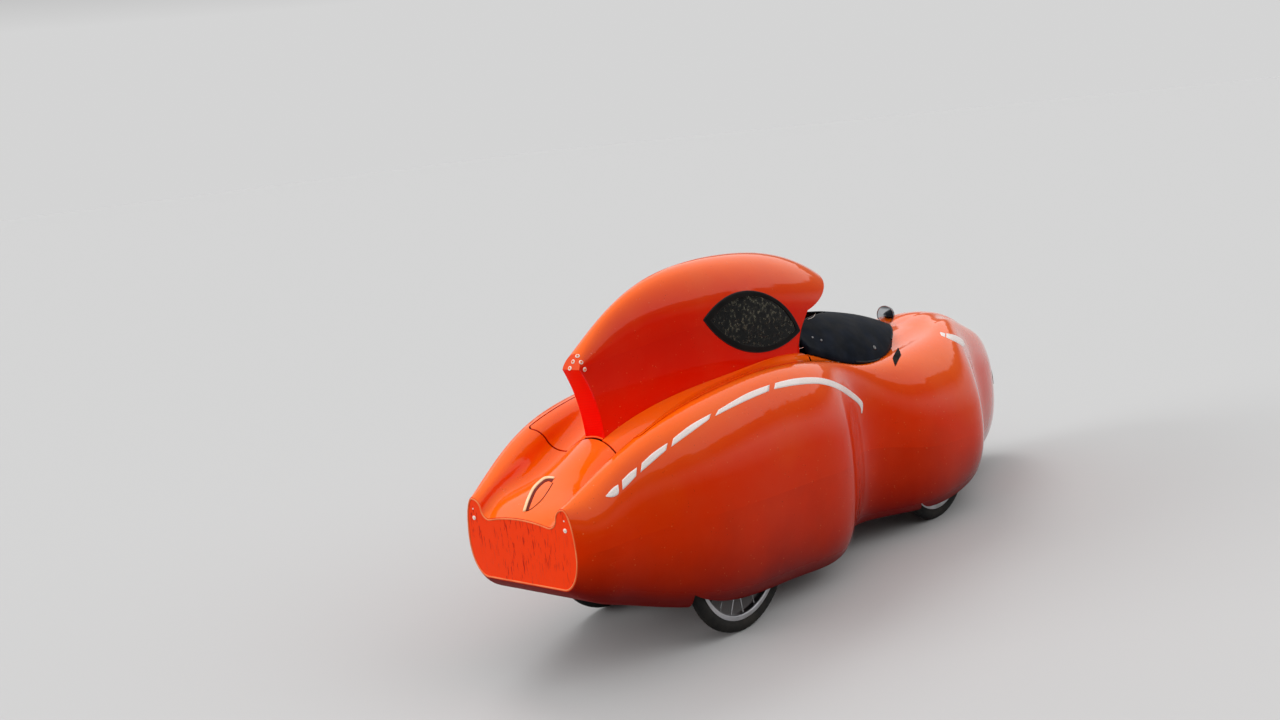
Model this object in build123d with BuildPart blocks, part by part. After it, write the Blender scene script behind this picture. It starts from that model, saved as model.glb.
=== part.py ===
from build123d import *
from collections import namedtuple
from math import hypot
import os

# A four-wheeled, fully faired human-powered vehicle (velomobile), in millimetres.
# +Y is forward, +X is its right-hand side, +Z is up, and the origin is on the
# ground below the middle of its length.

os.makedirs("parts", exist_ok=True)

# Walls and clearances
wall = 4.0                 # laminate of the hull and of the hood
fit = 0.3                  # clearance between pieces that seat on each other
panel_gap = 5.0            # open joint round the lid
sink = 2.0                 # how far fused pieces run into the wall that carries them

# Wheels
tyre_radius = 243.0
tyre_width = 40.0
tyre_tread_width = 18.0
tyre_shoulder = 21.0       # from the tread down to the widest part
rim_radius = 206.0         # outside of the rim, under the tyre
rim_depth = 16.0
rim_width = 27.0
hub_radius = 42.0          # drum brake hub
hub_neck_radius = 16.0
hub_width = 44.0
hub_drum_width = 28.0
axle_radius = 7.5
axle_end = 10.0            # axle beyond the hub
spoke_radius = 1.2
spoke_count = 20
front_axle_y = 430.0
front_wheel_x = 270.0      # half of the front track
rear_axle_y = -780.0
rear_wheel_x = 270.0       # half of the rear track
axle_z = tyre_radius
steer_angle = 8.0          # full lock

# Wheel arches, struts, knuckles and swing arms
arch_clearance = 15.0      # round the tread
arch_wall = 3.0
arch_radius = tyre_radius + arch_clearance
front_arch_x = 192.0       # inside of the inner wall of each arch
rear_arch_x = 200.0
turn_clearance = 8.0       # round a tyre at full lock
run_room = 12.0            # outboard of a tyre that runs straight
kingpin_x = 222.0
strut_radius = 15.0
strut_bore = 11.5
strut_foot_z = 318.0
strut_bore_top_z = 470.0
leg_top_z = 450.0
knuckle_radius = 18.0
knuckle_height = 54.0
steering_arm = (20.0, 90.0, 12.0)
link_width = 30.0
link_thickness = 8.0
stud_radius = 5.0
arm_x = 208.0              # inner face of a swing arm
arm_thickness = 22.0
arm_length = 200.0
arm_axle_radius = 24.0
arm_pivot_radius = 18.0
damper_radius = 13.0
damper_rod_radius = 6.0
damper_y = 60.0            # ahead of the rear axle
damper_foot_z = 300.0
damper_body_z = 360.0

# Hull sections, from the tail to the nose. Each is made of lines and arcs:
# a flat bottom out to bottom_w, an elliptical bilge up to the widest point,
# an elliptical side up to the shoulder, an S curve down or up to the valley
# and an arc over the crest in the middle of the deck.
Station = namedtuple(
    "Station", "y bottom_z bottom_w wide_w wide_z shoulder_w shoulder_z valley_w valley_z crest_z"
)
stations = [Station(*row) for row in (
    # y, bottom_z, bottom_w, wide_w, wide_z, shoulder_w, shoulder_z, valley_w, valley_z, crest_z
    (-1402, 310, 151, 216, 421, 180, 548, 118, 491, 504),
    (-1245, 224, 193, 285, 428, 208, 624, 112, 546, 573),
    (-1045, 154, 243, 345, 428, 234, 697, 102, 618, 656),
    (-790, 102, 281, 380, 414, 240, 736, 124, 705, 716),
    (-510, 79, 290, 388, 400, 240, 747, 139, 736, 742),
    (-250, 72, 281, 373, 386, 238, 722, 150, 744, 758),
    (-85, 98, 215, 302, 377, 238, 683, 141, 718, 735),
    (50, 99, 240, 307, 360, 238, 649, 122, 699, 714),
    (230, 82, 292, 364, 320, 225, 639, 82, 689, 696),
    (450, 68, 304, 392, 300, 206, 645, 51, 680, 684),
    (630, 71, 264, 376, 290, 184, 657, 40, 676, 679),
    (830, 66, 187, 260, 290, 132, 669, 36, 689, 692),
    (1045, 86, 116, 188, 288, 86, 605, 27, 638, 640),
    (1225, 123, 76, 123, 284, 61, 522, 20, 536, 538),
    (1345, 176, 32, 62, 272, 30, 411, 11, 418, 420),
    (1402, 234, 10, 22, 269, 11, 322, 5, 326, 328),
)]
tail = stations[0]
nose = stations[-1]

# Lid outline in plan: it carries the hood and covers the deck behind the cockpit
lid_rear_w = 221.0
lid_rear_y = -1110.0
lid_rear_bow = 50.0        # the middle of the rear edge lies this much forward
lid_front_w = 232.0
lid_front_y = -241.0
lid_nose_w = 190.0
lid_nose_y = -187.0        # middle of the front edge
lid_corner = 12.0
lid_floor_z = 510.0        # below every point of the lid and above the arches

# Soft cockpit cover in plan, and the domes that it is lofted through
cover_w = 238.0            # half of its greatest width
cover_wide_y = 94.0
cover_rear_w = 190.0
cover_rear_y = -178.0
cover_tip_y = 566.0
cover_tip_radius = 80.0
cover_lap = 14.0           # width of deck that it lies on
cover_thickness = 9.0
neck_w = 90.0              # opening for the rider's head
neck_y = 190.0
neck_gap = 12.0            # between the cover and the hood, which swings past it
Dome = namedtuple("Dome", "y half_w rim_z crest_z")
domes = [Dome(*row) for row in (
    # y, half_w, rim_z, crest_z
    (-204, 186, 766, 836),
    (-36, 224, 688, 837),
    (98, 238, 652, 826),
    (242, 224, 645, 799),
    (382, 192, 658, 765),
    (501, 138, 675, 725),
    (601, 70, 680, 688),
)]

# Hood sections, from its tail to its brim
Arch = namedtuple("Arch", "y base_w base_z side_w side_z top_z")
hood_arches = [Arch(*row) for row in (
    # y, base_w, base_z, side_w, side_z, top_z
    (-1123, 30, 583, 33, 867, 894),
    (-968, 44, 600, 48, 883, 992),
    (-766, 74, 644, 80, 899, 1070),
    (-544, 112, 653, 118, 910, 1098),
    (-325, 144, 655, 146, 886, 1093),
    (-116, 166, 655, 162, 850, 1062),
    (82, 168, 655, 150, 830, 983),
    (199, 150, 654, 120, 813, 888),
)]

# Side view of the hood, as (y, z)
brim_tip = (91, 983)
brim_mid = (-44, 892)
brim_knee = (-124, 869)
brim_low = (-175, 801)
brim_foot = (-193, 742)
tail_top = (-1064, 945)
tail_bulge = (-1098, 911)
lens_top = (-1120, 868)
lens_mid = (-1075, 770)
lens_foot = (-1057, 579)
lens_thickness = 5.0
window_rear = (-617, 924)
window_top = (-366, 971)
window_bottom = (-417, 783)
window_front = (-180, 809)
window_side_x = 40.0       # the window's cutter starts here

# Lid hinges, along the left-hand edge
hinge_x = -240.0
hinge_z = 757.0
hinge_radius = 6.0
pin_radius = 2.5
knuckle_length = 18.0
hinge_leg = 10.0
hinge_leaf_x = -206.0
hinge_leaf_thickness = 5.0
hinge_ys = {"rear": -640.0, "front": -400.0}

# Seat, as (y, z) along the middle of its shell
seat_path = [(56, 222), (-178, 168), (-305, 223), (-544, 632)]
seat_bend = 90.0
seat_half_w = 130.0
seat_wall = 5.0
seat_pad = 18.0
seat_pad_half_w = 122.0
foot_x = 100.0             # brackets under the seat
foot_y = -180.0
foot_length = 90.0
foot_thickness = 5.0
post_half_w = 24.0
post_top_z = 880.0
rest_half_w = 54.0
rest_depth = 34.0
rest_foot_z = 790.0
rest_corner = 12.0

# Mirror, on the deck in front of the cover
mirror_radius = 37.0
mirror_y = 629.0
mirror_z = 717.0
mirror_back = [(14, 32), (24, 18), (28, 0)]    # (depth, radius) behind its rim
mirror_wall = 2.5
mirror_bulge = 4.0
mirror_foot_radius = 9.0

# Head lamps, flush with the nose
lamp_radius = 28.0
lamp_wall = 2.5
lamp_x = 60.0
lamp_z = 325.0
lamp_back_y = 1190.0

# Slots in the shoulder beside the cockpit, slanting along the cover
slot_x = 242.0
slot_y = 279.0
slot_tip = (-38.0, 80.0)   # from the middle to the front tip
slot_half_width = 25.0

# Screws of the tail plate
tail_plate_thickness = 4.0
tail_screw = (181, 487)
tail_hole_above = 27.0     # smaller holes above the screws
tail_screw_radius = 3.0
tail_hole_radius = 2.0

far = 600.0                # reach of the cutting tools
sides = {"left": -1, "right": 1}


def hull_solid(grow, rows):
    """The body inside the hull's skin, grown by a distance."""
    with BuildPart() as body:
        for row in rows:
            bottom_z = row.bottom_z - grow
            wide_w = row.wide_w + grow
            shoulder_z = row.shoulder_z + grow
            valley_z = row.valley_z + grow
            bilge = (wide_w - row.bottom_w, row.wide_z - bottom_z)
            side = (wide_w - row.shoulder_w, shoulder_z - row.wide_z)
            with BuildSketch(Plane.XZ.offset(-row.y)):
                with BuildLine():
                    Line((-row.bottom_w, bottom_z), (row.bottom_w, bottom_z))
                    EllipticalCenterArc((row.bottom_w, row.wide_z), *bilge, -90, arc_size=90)
                    EllipticalCenterArc((row.shoulder_w, row.wide_z), *side, 0, arc_size=90)
                    for way in (1, -1):
                        shoulder = (way * row.shoulder_w, shoulder_z)
                        valley = (way * row.valley_w, valley_z)
                        middle = ((shoulder[0] + valley[0]) / 2, (shoulder[1] + valley[1]) / 2)
                        TangentArc(shoulder, middle, tangent=(-way, 0))
                        TangentArc(valley, middle, tangent=(way, 0))
                        TangentArc((0, row.crest_z + grow), valley, tangent=(way, 0))
                    EllipticalCenterArc((-row.shoulder_w, row.wide_z), *side, 90, arc_size=90)
                    EllipticalCenterArc((-row.bottom_w, row.wide_z), *bilge, 180, arc_size=90)
                make_face()
        loft()
    return body.part


def hood_solid(grow):
    """The body inside the hood's skin, grown by a distance."""
    with BuildPart() as body:
        for row in hood_arches:
            base_w, side_w, top_z = row.base_w + grow, row.side_w + grow, row.top_z + grow
            with BuildSketch(Plane.XZ.offset(-row.y)):
                with BuildLine():
                    Line((-base_w, row.base_z), (base_w, row.base_z))
                    Line((base_w, row.base_z), (side_w, row.side_z))
                    EllipticalCenterArc((0, row.side_z), side_w, top_z - row.side_z, 0, arc_size=90)
                    EllipticalCenterArc((0, row.side_z), side_w, top_z - row.side_z, 90, arc_size=90)
                    Line((-side_w, row.side_z), (-base_w, row.base_z))
                make_face()
        loft()
    return body.part


def dome_solid(drop):
    """The body under the soft cover's dome, lowered by a distance."""
    with BuildPart() as body:
        for row in domes:
            half_w, rim_z = row.half_w - 2 * drop, row.rim_z - drop
            with BuildSketch(Plane.XZ.offset(-row.y)):
                with BuildLine():
                    ThreePointArc((-half_w, rim_z), (0, row.crest_z - drop), (half_w, rim_z))
                    Polyline((half_w, rim_z), (half_w, lid_floor_z), (-half_w, lid_floor_z),
                             (-half_w, rim_z))
                make_face()
        loft()
    return body.part


def lid_prism(grow):
    """Everything over the lid's outline in plan."""
    with BuildPart() as prism:
        with BuildSketch(Plane.XY.offset(lid_floor_z)):
            with BuildLine():
                ThreePointArc((-lid_rear_w, lid_rear_y), (0, lid_rear_y + lid_rear_bow),
                              (lid_rear_w, lid_rear_y))
                Polyline((lid_rear_w, lid_rear_y), (lid_front_w, lid_front_y),
                         (lid_nose_w, lid_nose_y), (-lid_nose_w, lid_nose_y),
                         (-lid_front_w, lid_front_y), (-lid_rear_w, lid_rear_y))
            make_face()
            fillet(vertices(), radius=lid_corner)
            offset(amount=grow)
        extrude(amount=far)
    return prism.part


def cover_prism(grow):
    """Everything over the soft cover's outline in plan, without its neck opening."""
    # The side arc starts level with the widest point and runs into the tip's arc.
    tip_centre_y = cover_tip_y - cover_tip_radius
    ahead = tip_centre_y - cover_wide_y
    side_radius = (cover_w**2 + ahead**2 - cover_tip_radius**2) / (2 * (cover_w - cover_tip_radius))
    reach = hypot(side_radius - cover_w, ahead)
    touch_x = cover_w - side_radius + side_radius * (side_radius - cover_w) / reach
    touch_y = cover_wide_y + side_radius * ahead / reach
    with BuildPart() as prism:
        with BuildSketch(Plane.XY.offset(lid_floor_z)):
            with BuildLine():
                Line((-cover_rear_w, cover_rear_y), (cover_rear_w, cover_rear_y))
                for side in sides.values():
                    widest = (side * cover_w, cover_wide_y)
                    TangentArc(widest, (side * cover_rear_w, cover_rear_y), tangent=(0, -1))
                    TangentArc(widest, (side * touch_x, touch_y), tangent=(0, 1))
                ThreePointArc((touch_x, touch_y), (0, cover_tip_y), (-touch_x, touch_y))
            make_face()
            offset(amount=grow)
        extrude(amount=far)
    return prism.part


def side_view(*edges, x_from=-far, x_to=far):
    """A solid whose outline is drawn in side view: points, or (point, middle, point) arcs."""
    with BuildPart() as solid:
        with BuildSketch(Plane.YZ.offset(x_from)):
            with BuildLine():
                for edge in edges:
                    if len(edge) == 3:
                        ThreePointArc(*edge)
                    else:
                        Line(*edge)
            make_face()
        extrude(amount=x_to - x_from)
    return solid.part


def ahead_of_brim(shift):
    """Everything ahead of the hood's brim, moved forwards by a distance."""
    tip, middle, knee, low, foot = [
        (y + shift, z) for y, z in (brim_tip, brim_mid, brim_knee, brim_low, brim_foot)
    ]
    ahead = brim_tip[0] + far
    return side_view(
        (tip, middle, knee), (knee, low, foot), (foot, (foot[0], lid_floor_z)),
        ((foot[0], lid_floor_z), (ahead, lid_floor_z)), ((ahead, lid_floor_z), (ahead, tip[1])),
        ((ahead, tip[1]), tip),
    )


def hood_tail(shift):
    """Everything behind the tail of the hood, moved forwards by a distance."""
    top, bulge, upper, middle, foot = [
        (y + shift, z) for y, z in (tail_top, tail_bulge, lens_top, lens_mid, lens_foot)
    ]
    behind = tail_top[0] - far
    return side_view(
        (top, bulge), (bulge, upper), (upper, middle, foot),
        (foot, (behind, foot[1])), ((behind, foot[1]), (behind, top[1] + far)),
        ((behind, top[1] + far), (top[0], top[1] + far)), ((top[0], top[1] + far), top),
    )


def disc(x, y, z, radius, length):
    """A cylinder along +X."""
    with BuildPart() as solid:
        with BuildSketch(Plane.YZ.offset(x)):
            with Locations((y, z)):
                Circle(radius)
        extrude(amount=length)
    return solid.part


def mirrored(solid, side):
    return solid if side > 0 else solid.mirror(Plane.YZ)


def save(builder, name):
    builder.part.label = name
    export_step(builder.part, f"parts/{name}.step")


outer = hull_solid(0, stations)
inner = split(hull_solid(-wall, stations), Plane.XZ.offset(wall - nose.y))
skin = outer - inner
seat_skin = hull_solid(fit, stations)          # what lies on the hull clears this
lining = hull_solid(-wall - fit, stations)     # what lies inside the hull stays in this
below_lid = hull_solid(-sink, stations)
hood_outer = hood_solid(0)
hood_inner = hood_solid(-wall)
above_lens = lens_top[1]


def hull():
    with BuildPart() as shell:
        add(skin)
        add(lid_prism(panel_gap), mode=Mode.SUBTRACT)
        add(cover_prism(-cover_lap), mode=Mode.SUBTRACT)
        # The cockpit's opening runs back into the lid's.
        with BuildSketch(Plane.XY.offset(lid_floor_z)):
            with Locations((0, lid_nose_y)):
                Rectangle(2 * (cover_rear_w - cover_lap), 3 * cover_lap,
                          align=(Align.CENTER, Align.MIN))
        extrude(amount=far, mode=Mode.SUBTRACT)
        for side in sides.values():
            # wheel openings in the floor, the front ones also at full lock
            for y, arch_x, wheel_x in (
                (front_axle_y, front_arch_x, front_wheel_x),
                (rear_axle_y, rear_arch_x, rear_wheel_x),
            ):
                width = wheel_x + tyre_width / 2 + run_room - arch_x
                add(mirrored(disc(arch_x, y, axle_z, arch_radius, width), side), mode=Mode.SUBTRACT)
            kingpin = Axis((kingpin_x, front_axle_y, 0), (0, 0, 1))
            swept = disc(front_wheel_x - tyre_width / 2 - turn_clearance, front_axle_y, axle_z,
                         tyre_radius + turn_clearance, tyre_width + 2 * turn_clearance)
            for angle in (-steer_angle, steer_angle):
                add(mirrored(swept.rotate(kingpin, angle), side), mode=Mode.SUBTRACT)
            # slot in the shoulder
            with BuildSketch(Plane.XY.offset(lid_floor_z)):
                with Locations((side * slot_x, slot_y)):
                    with BuildLine():
                        Polyline((side * slot_tip[0], slot_tip[1]), (0, slot_half_width),
                                 (-side * slot_tip[0], -slot_tip[1]), (0, -slot_half_width),
                                 close=True)
                    make_face()
            extrude(amount=far, mode=Mode.SUBTRACT)
            # head lamp
            with BuildSketch(Plane.XZ.offset(-lamp_back_y)):
                with Locations((side * lamp_x, lamp_z)):
                    Circle(lamp_radius + fit)
            extrude(amount=-far, mode=Mode.SUBTRACT)
    save(shell, "hull_shell")


def tail_plate():
    with BuildPart() as plate:
        with BuildSketch(Plane.XZ.offset(-tail.y)):
            Rectangle(2 * far, 2 * far)
        extrude(amount=-tail_plate_thickness)
        add(lining, mode=Mode.INTERSECT)
        for side in sides.values():
            with BuildSketch(Plane.XZ.offset(-tail.y)):
                with Locations((side * tail_screw[0], tail_screw[1])):
                    Circle(tail_screw_radius)
                with Locations((side * tail_screw[0], tail_screw[1] + tail_hole_above)):
                    Circle(tail_hole_radius)
            extrude(amount=-tail_plate_thickness, mode=Mode.SUBTRACT)
    save(plate, "tail_plate")


def cockpit_cover():
    with BuildPart() as cover:
        add(dome_solid(0))
        add(cover_prism(0), mode=Mode.INTERSECT)
        add(dome_solid(cover_thickness), mode=Mode.SUBTRACT)
        add(seat_skin, mode=Mode.SUBTRACT)
        add(hood_solid(neck_gap) - ahead_of_brim(neck_gap), mode=Mode.SUBTRACT)
        with BuildSketch(Plane.XY.offset(lid_floor_z)):
            with Locations((0, cover_rear_y)):
                Ellipse(neck_w, neck_y - cover_rear_y)
        extrude(amount=far, mode=Mode.SUBTRACT)
    save(cover, "cockpit_cover")


def window_prism(grow, side):
    """The almond outline of a side window, as a solid through the hood's wall."""
    rear, front = (window_rear[0] - grow, window_rear[1]), (window_front[0] + grow, window_front[1])
    over, under = (window_top[0], window_top[1] + grow), (window_bottom[0], window_bottom[1] - grow)
    return mirrored(
        side_view((rear, over, front), (front, under, rear), x_from=window_side_x), side
    )


def hood_skin():
    shell = hood_outer - hood_inner - ahead_of_brim(0)
    # The end of the tail is closed by a wall above and by the lens below.
    end = hood_tail(0)
    strip = hood_tail(lens_thickness) - end
    lens_side = side_view(
        ((-2 * far, above_lens + fit), (0, above_lens + fit)), ((0, above_lens + fit), (0, 0)),
        ((0, 0), (-2 * far, 0)), ((-2 * far, 0), (-2 * far, above_lens + fit)),
    )
    shell -= end
    shell -= hood_tail(lens_thickness + fit) & lens_side
    shell += (hood_outer & strip) - lens_side
    return shell - below_lid


def hood_lid():
    with BuildPart() as lid:
        add(skin)
        add(lid_prism(0), mode=Mode.INTERSECT)
        add(hood_inner, mode=Mode.SUBTRACT)
        add(hood_tail(lens_thickness + fit) & hood_outer, mode=Mode.SUBTRACT)
        add(hood_skin())
        for side in sides.values():
            add(window_prism(fit, side), mode=Mode.SUBTRACT)
        for y in hinge_ys.values():
            add(lid_leaf(y))
    save(lid, "hood_lid")


def lid_leaf(y):
    """The lid's knuckle of a hinge, with the leaf that runs down to the lid."""
    reach = hinge_leaf_x - hinge_x
    with BuildPart() as leaf:
        with BuildSketch(Plane.XZ.offset(-y - knuckle_length / 2)):
            with Locations((hinge_x, hinge_z)):
                Circle(hinge_radius)
            with Locations((hinge_x, hinge_z + hinge_radius)):
                Rectangle(reach, hinge_leaf_thickness, align=(Align.MIN, Align.MAX))
            with Locations((hinge_leaf_x, hinge_z + hinge_radius)):
                Rectangle(hinge_leg, far / 4, align=(Align.MAX, Align.MAX))
        extrude(amount=knuckle_length)
        with BuildSketch(Plane.XZ.offset(-y - knuckle_length / 2)):
            with Locations((hinge_x, hinge_z)):
                Circle(pin_radius + fit)
        extrude(amount=knuckle_length, mode=Mode.SUBTRACT)
        add(below_lid, mode=Mode.SUBTRACT)
    return leaf.part


def hull_hinge(place, y):
    """The hull's two knuckles of a hinge, the pin through them and their legs."""
    pitch = knuckle_length + fit
    with BuildPart() as hinge:
        for step in (-1, 1):
            with BuildSketch(Plane.XZ.offset(-y - step * pitch - knuckle_length / 2)):
                with Locations((hinge_x, hinge_z)):
                    Circle(hinge_radius)
                with Locations((hinge_x + hinge_leg / 4, hinge_z)):
                    Rectangle(hinge_leg, far / 4, align=(Align.MAX, Align.MAX))
            extrude(amount=knuckle_length)
        with BuildSketch(Plane.XZ.offset(-y - pitch - knuckle_length / 2)):
            with Locations((hinge_x, hinge_z)):
                Circle(pin_radius)
        extrude(amount=2 * pitch + knuckle_length)
        add(seat_skin, mode=Mode.SUBTRACT)
    save(hinge, f"lid_hinge_{place}")


def windows():
    for name, side in sides.items():
        with BuildPart() as pane:
            add(hood_outer)
            add(hood_inner, mode=Mode.SUBTRACT)
            add(window_prism(0, side), mode=Mode.INTERSECT)
        save(pane, f"window_{name}")


def tail_lens():
    with BuildPart() as lens:
        add(hood_outer)
        add(hood_tail(lens_thickness) - hood_tail(0), mode=Mode.INTERSECT)
        with BuildSketch(Plane.XY.offset(above_lens)):
            Rectangle(4 * far, 4 * far)
        extrude(amount=far, mode=Mode.SUBTRACT)
        add(seat_skin, mode=Mode.SUBTRACT)
    save(lens, "hood_tail_lens")


def wheel_arches():
    for end, y, arch_x in (("front", front_axle_y, front_arch_x), ("rear", rear_axle_y, rear_arch_x)):
        with BuildPart() as arch:
            add(disc(arch_x - arch_wall, y, axle_z, arch_radius + arch_wall, far))
            add(disc(arch_x, y, axle_z, arch_radius, far), mode=Mode.SUBTRACT)
            add(lining, mode=Mode.INTERSECT)
        for name, side in sides.items():
            with BuildPart() as placed:
                add(mirrored(arch.part, side))
            save(placed, f"wheel_arch_{end}_{name}")


def struts_and_knuckles():
    wheel_reach = front_wheel_x + hub_width / 2 + axle_end - kingpin_x
    half = knuckle_height / 2
    for name, side in sides.items():
        x = side * kingpin_x
        with BuildPart() as strut:
            with BuildSketch(Plane.XY.offset(strut_foot_z)):
                with Locations((x, front_axle_y)):
                    Circle(strut_radius)
            extrude(amount=arch_radius)
            add(disc(-far, front_axle_y, axle_z, arch_radius - fit, 2 * far), mode=Mode.INTERSECT)
            with BuildSketch(Plane.XY.offset(strut_foot_z)):
                with Locations((x, front_axle_y)):
                    Circle(strut_bore)
            extrude(amount=strut_bore_top_z - strut_foot_z, mode=Mode.SUBTRACT)
        save(strut, f"strut_{name}")

        with BuildPart() as knuckle:
            with BuildSketch(Plane.XY.offset(axle_z - half)):
                with Locations((x, front_axle_y)):
                    Circle(knuckle_radius)
            extrude(amount=knuckle_height)
            with BuildSketch(Plane.XY.offset(axle_z)):
                with Locations((x, front_axle_y)):
                    Circle(strut_bore - fit)
            extrude(amount=leg_top_z - axle_z)
            add(mirrored(disc(kingpin_x, front_axle_y, axle_z, axle_radius, wheel_reach), side))
            width, length, height = steering_arm
            with BuildSketch(Plane.XY.offset(axle_z - half)):
                with Locations((x, front_axle_y)):
                    Rectangle(width, length, align=(Align.CENTER, Align.MAX))
            extrude(amount=height)
        save(knuckle, f"knuckle_{name}")

        with BuildPart() as link:
            top = axle_z - half - fit
            with BuildSketch(Plane.XY.offset(top - link_thickness - stud_radius)):
                with Locations((side * (front_arch_x + fit), front_axle_y)):
                    inward = Align.MIN if side > 0 else Align.MAX
                    Rectangle(kingpin_x - front_arch_x + link_width / 2, link_width,
                              align=(inward, Align.CENTER))
            extrude(amount=link_thickness)
            with BuildSketch(Plane.XY.offset(top - link_thickness - stud_radius)):
                with Locations((x, front_axle_y)):
                    Circle(stud_radius)
            extrude(amount=link_thickness + stud_radius)
        save(link, f"lower_link_{name}")


def swing_arms():
    pivot_y = rear_axle_y + arm_length
    wheel_reach = rear_wheel_x + hub_width / 2 + axle_end - arm_x
    spring_x = arm_x + arm_thickness / 2
    for name, side in sides.items():
        with BuildPart() as arm:
            with BuildSketch(Plane.YZ.offset(arm_x)):
                with BuildLine():
                    Line((rear_axle_y, axle_z + arm_axle_radius), (pivot_y, axle_z + arm_pivot_radius))
                    ThreePointArc((pivot_y, axle_z + arm_pivot_radius),
                                  (pivot_y + arm_pivot_radius, axle_z),
                                  (pivot_y, axle_z - arm_pivot_radius))
                    Line((pivot_y, axle_z - arm_pivot_radius), (rear_axle_y, axle_z - arm_axle_radius))
                    ThreePointArc((rear_axle_y, axle_z - arm_axle_radius),
                                  (rear_axle_y - arm_axle_radius, axle_z),
                                  (rear_axle_y, axle_z + arm_axle_radius))
                make_face()
            extrude(amount=arm_thickness)
            add(disc(arm_x, rear_axle_y, axle_z, axle_radius, wheel_reach))
            add(disc(rear_arch_x + fit, pivot_y, axle_z, arm_pivot_radius / 2, arm_thickness))
            with BuildSketch(Plane.XY.offset(axle_z)):
                with Locations((spring_x, rear_axle_y + damper_y)):
                    Circle(damper_rod_radius + sink)
            extrude(amount=damper_foot_z - axle_z)
        with BuildPart() as placed_arm:
            add(mirrored(arm.part, side))
        save(placed_arm, f"swing_arm_{name}")

        with BuildPart() as damper:
            with BuildSketch(Plane.XY.offset(damper_foot_z + fit)):
                with Locations((side * spring_x, rear_axle_y + damper_y)):
                    Circle(damper_rod_radius)
            extrude(amount=arch_radius)
            with BuildSketch(Plane.XY.offset(damper_body_z)):
                with Locations((side * spring_x, rear_axle_y + damper_y)):
                    Circle(min(damper_radius, spring_x - rear_arch_x - fit))
            extrude(amount=arch_radius)
            add(disc(-far, rear_axle_y, axle_z, arch_radius - fit, 2 * far), mode=Mode.INTERSECT)
        save(damper, f"damper_{name}")


def wheel(end, name, x, y):
    """A spoked wheel with its drum hub, and its tyre."""
    axle = Axis((x, y, axle_z), (1, 0, 0))
    section = Plane(origin=(x, y, axle_z), x_dir=(1, 0, 0), z_dir=(0, -1, 0))
    rim_inner = rim_radius - rim_depth
    flange_x = hub_width / 2 - sink
    with BuildPart() as spoked:
        with BuildSketch(section):
            with Locations((0, rim_radius)):
                Rectangle(rim_width, rim_depth, align=(Align.CENTER, Align.MAX))
            fillet(vertices().group_by(Axis.Y)[0], radius=rim_depth / 3)
        revolve(axis=axle)
        with BuildSketch(section):
            with BuildLine():
                Polyline((-hub_width / 2, axle_radius + fit), (-hub_width / 2, hub_neck_radius),
                         (-hub_drum_width / 2, hub_neck_radius), (-hub_drum_width / 2, hub_radius),
                         (hub_drum_width / 2, hub_radius), (hub_drum_width / 2, hub_neck_radius),
                         (hub_width / 2, hub_neck_radius), (hub_width / 2, axle_radius + fit),
                         close=True)
            make_face()
        revolve(axis=axle)
        for number in range(spoke_count):
            lean = hub_drum_width / 2 - spoke_radius
            lean *= 1 if number % 2 else -1
            start = Vector(lean, 0, hub_radius - sink)
            end_point = Vector(0, 0, rim_inner + sink)
            spoke = Plane(origin=start, z_dir=end_point - start)
            turned = Location((x, y, axle_z), (360 * number / spoke_count, 0, 0))
            with BuildSketch(Plane(turned * spoke.location)):
                RegularPolygon(spoke_radius, 6)
            extrude(amount=(end_point - start).length)
    save(spoked, f"wheel_{end}_{name}")

    half_tread = tyre_tread_width / 2
    widest = tyre_radius - tyre_shoulder
    bead = rim_radius + fit
    with BuildPart() as tyre:
        with BuildSketch(section):
            with BuildLine():
                Polyline((-rim_width / 2, bead), (-tyre_width / 2, widest), (-half_tread, tyre_radius),
                         (half_tread, tyre_radius), (tyre_width / 2, widest), (rim_width / 2, bead),
                         close=True)
            make_face()
        revolve(axis=axle)
    save(tyre, f"tyre_{end}_{name}")


def wheels():
    for name, side in sides.items():
        wheel("front", name, side * front_wheel_x, front_axle_y)
        wheel("rear", name, side * rear_wheel_x, rear_axle_y)


def beside(path, distance):
    """A bent path moved sideways, towards the rider."""
    moved = []
    for index, point in enumerate(path):
        before = path[max(index - 1, 0)]
        after = path[min(index + 1, len(path) - 1)]
        normals = []
        for start, end in ((before, point), (point, after)):
            length = hypot(end[0] - start[0], end[1] - start[1])
            if length:
                normals.append(((end[1] - start[1]) / length, (start[0] - end[0]) / length))
        ny = sum(normal[0] for normal in normals) / len(normals)
        nz = sum(normal[1] for normal in normals) / len(normals)
        square = ny * ny + nz * nz
        moved.append((point[0] + distance * ny / square, point[1] + distance * nz / square))
    return moved


def seat_feet():
    """Two brackets from the seat's shell down to the floor of the hull."""
    with BuildPart() as feet:
        for side in sides.values():
            with BuildSketch(Plane.YZ.offset(side * foot_x - foot_thickness / 2)):
                with BuildLine():
                    FilletPolyline(*seat_path, radius=seat_bend)
                    Polyline(seat_path[-1], (seat_path[-1][0], 0), (seat_path[0][0], 0), seat_path[0])
                make_face()
                with Locations((foot_y, 0)):
                    Rectangle(foot_length, far, mode=Mode.INTERSECT)
            extrude(amount=foot_thickness)
        add(lining, mode=Mode.INTERSECT)
    return feet.part


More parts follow.
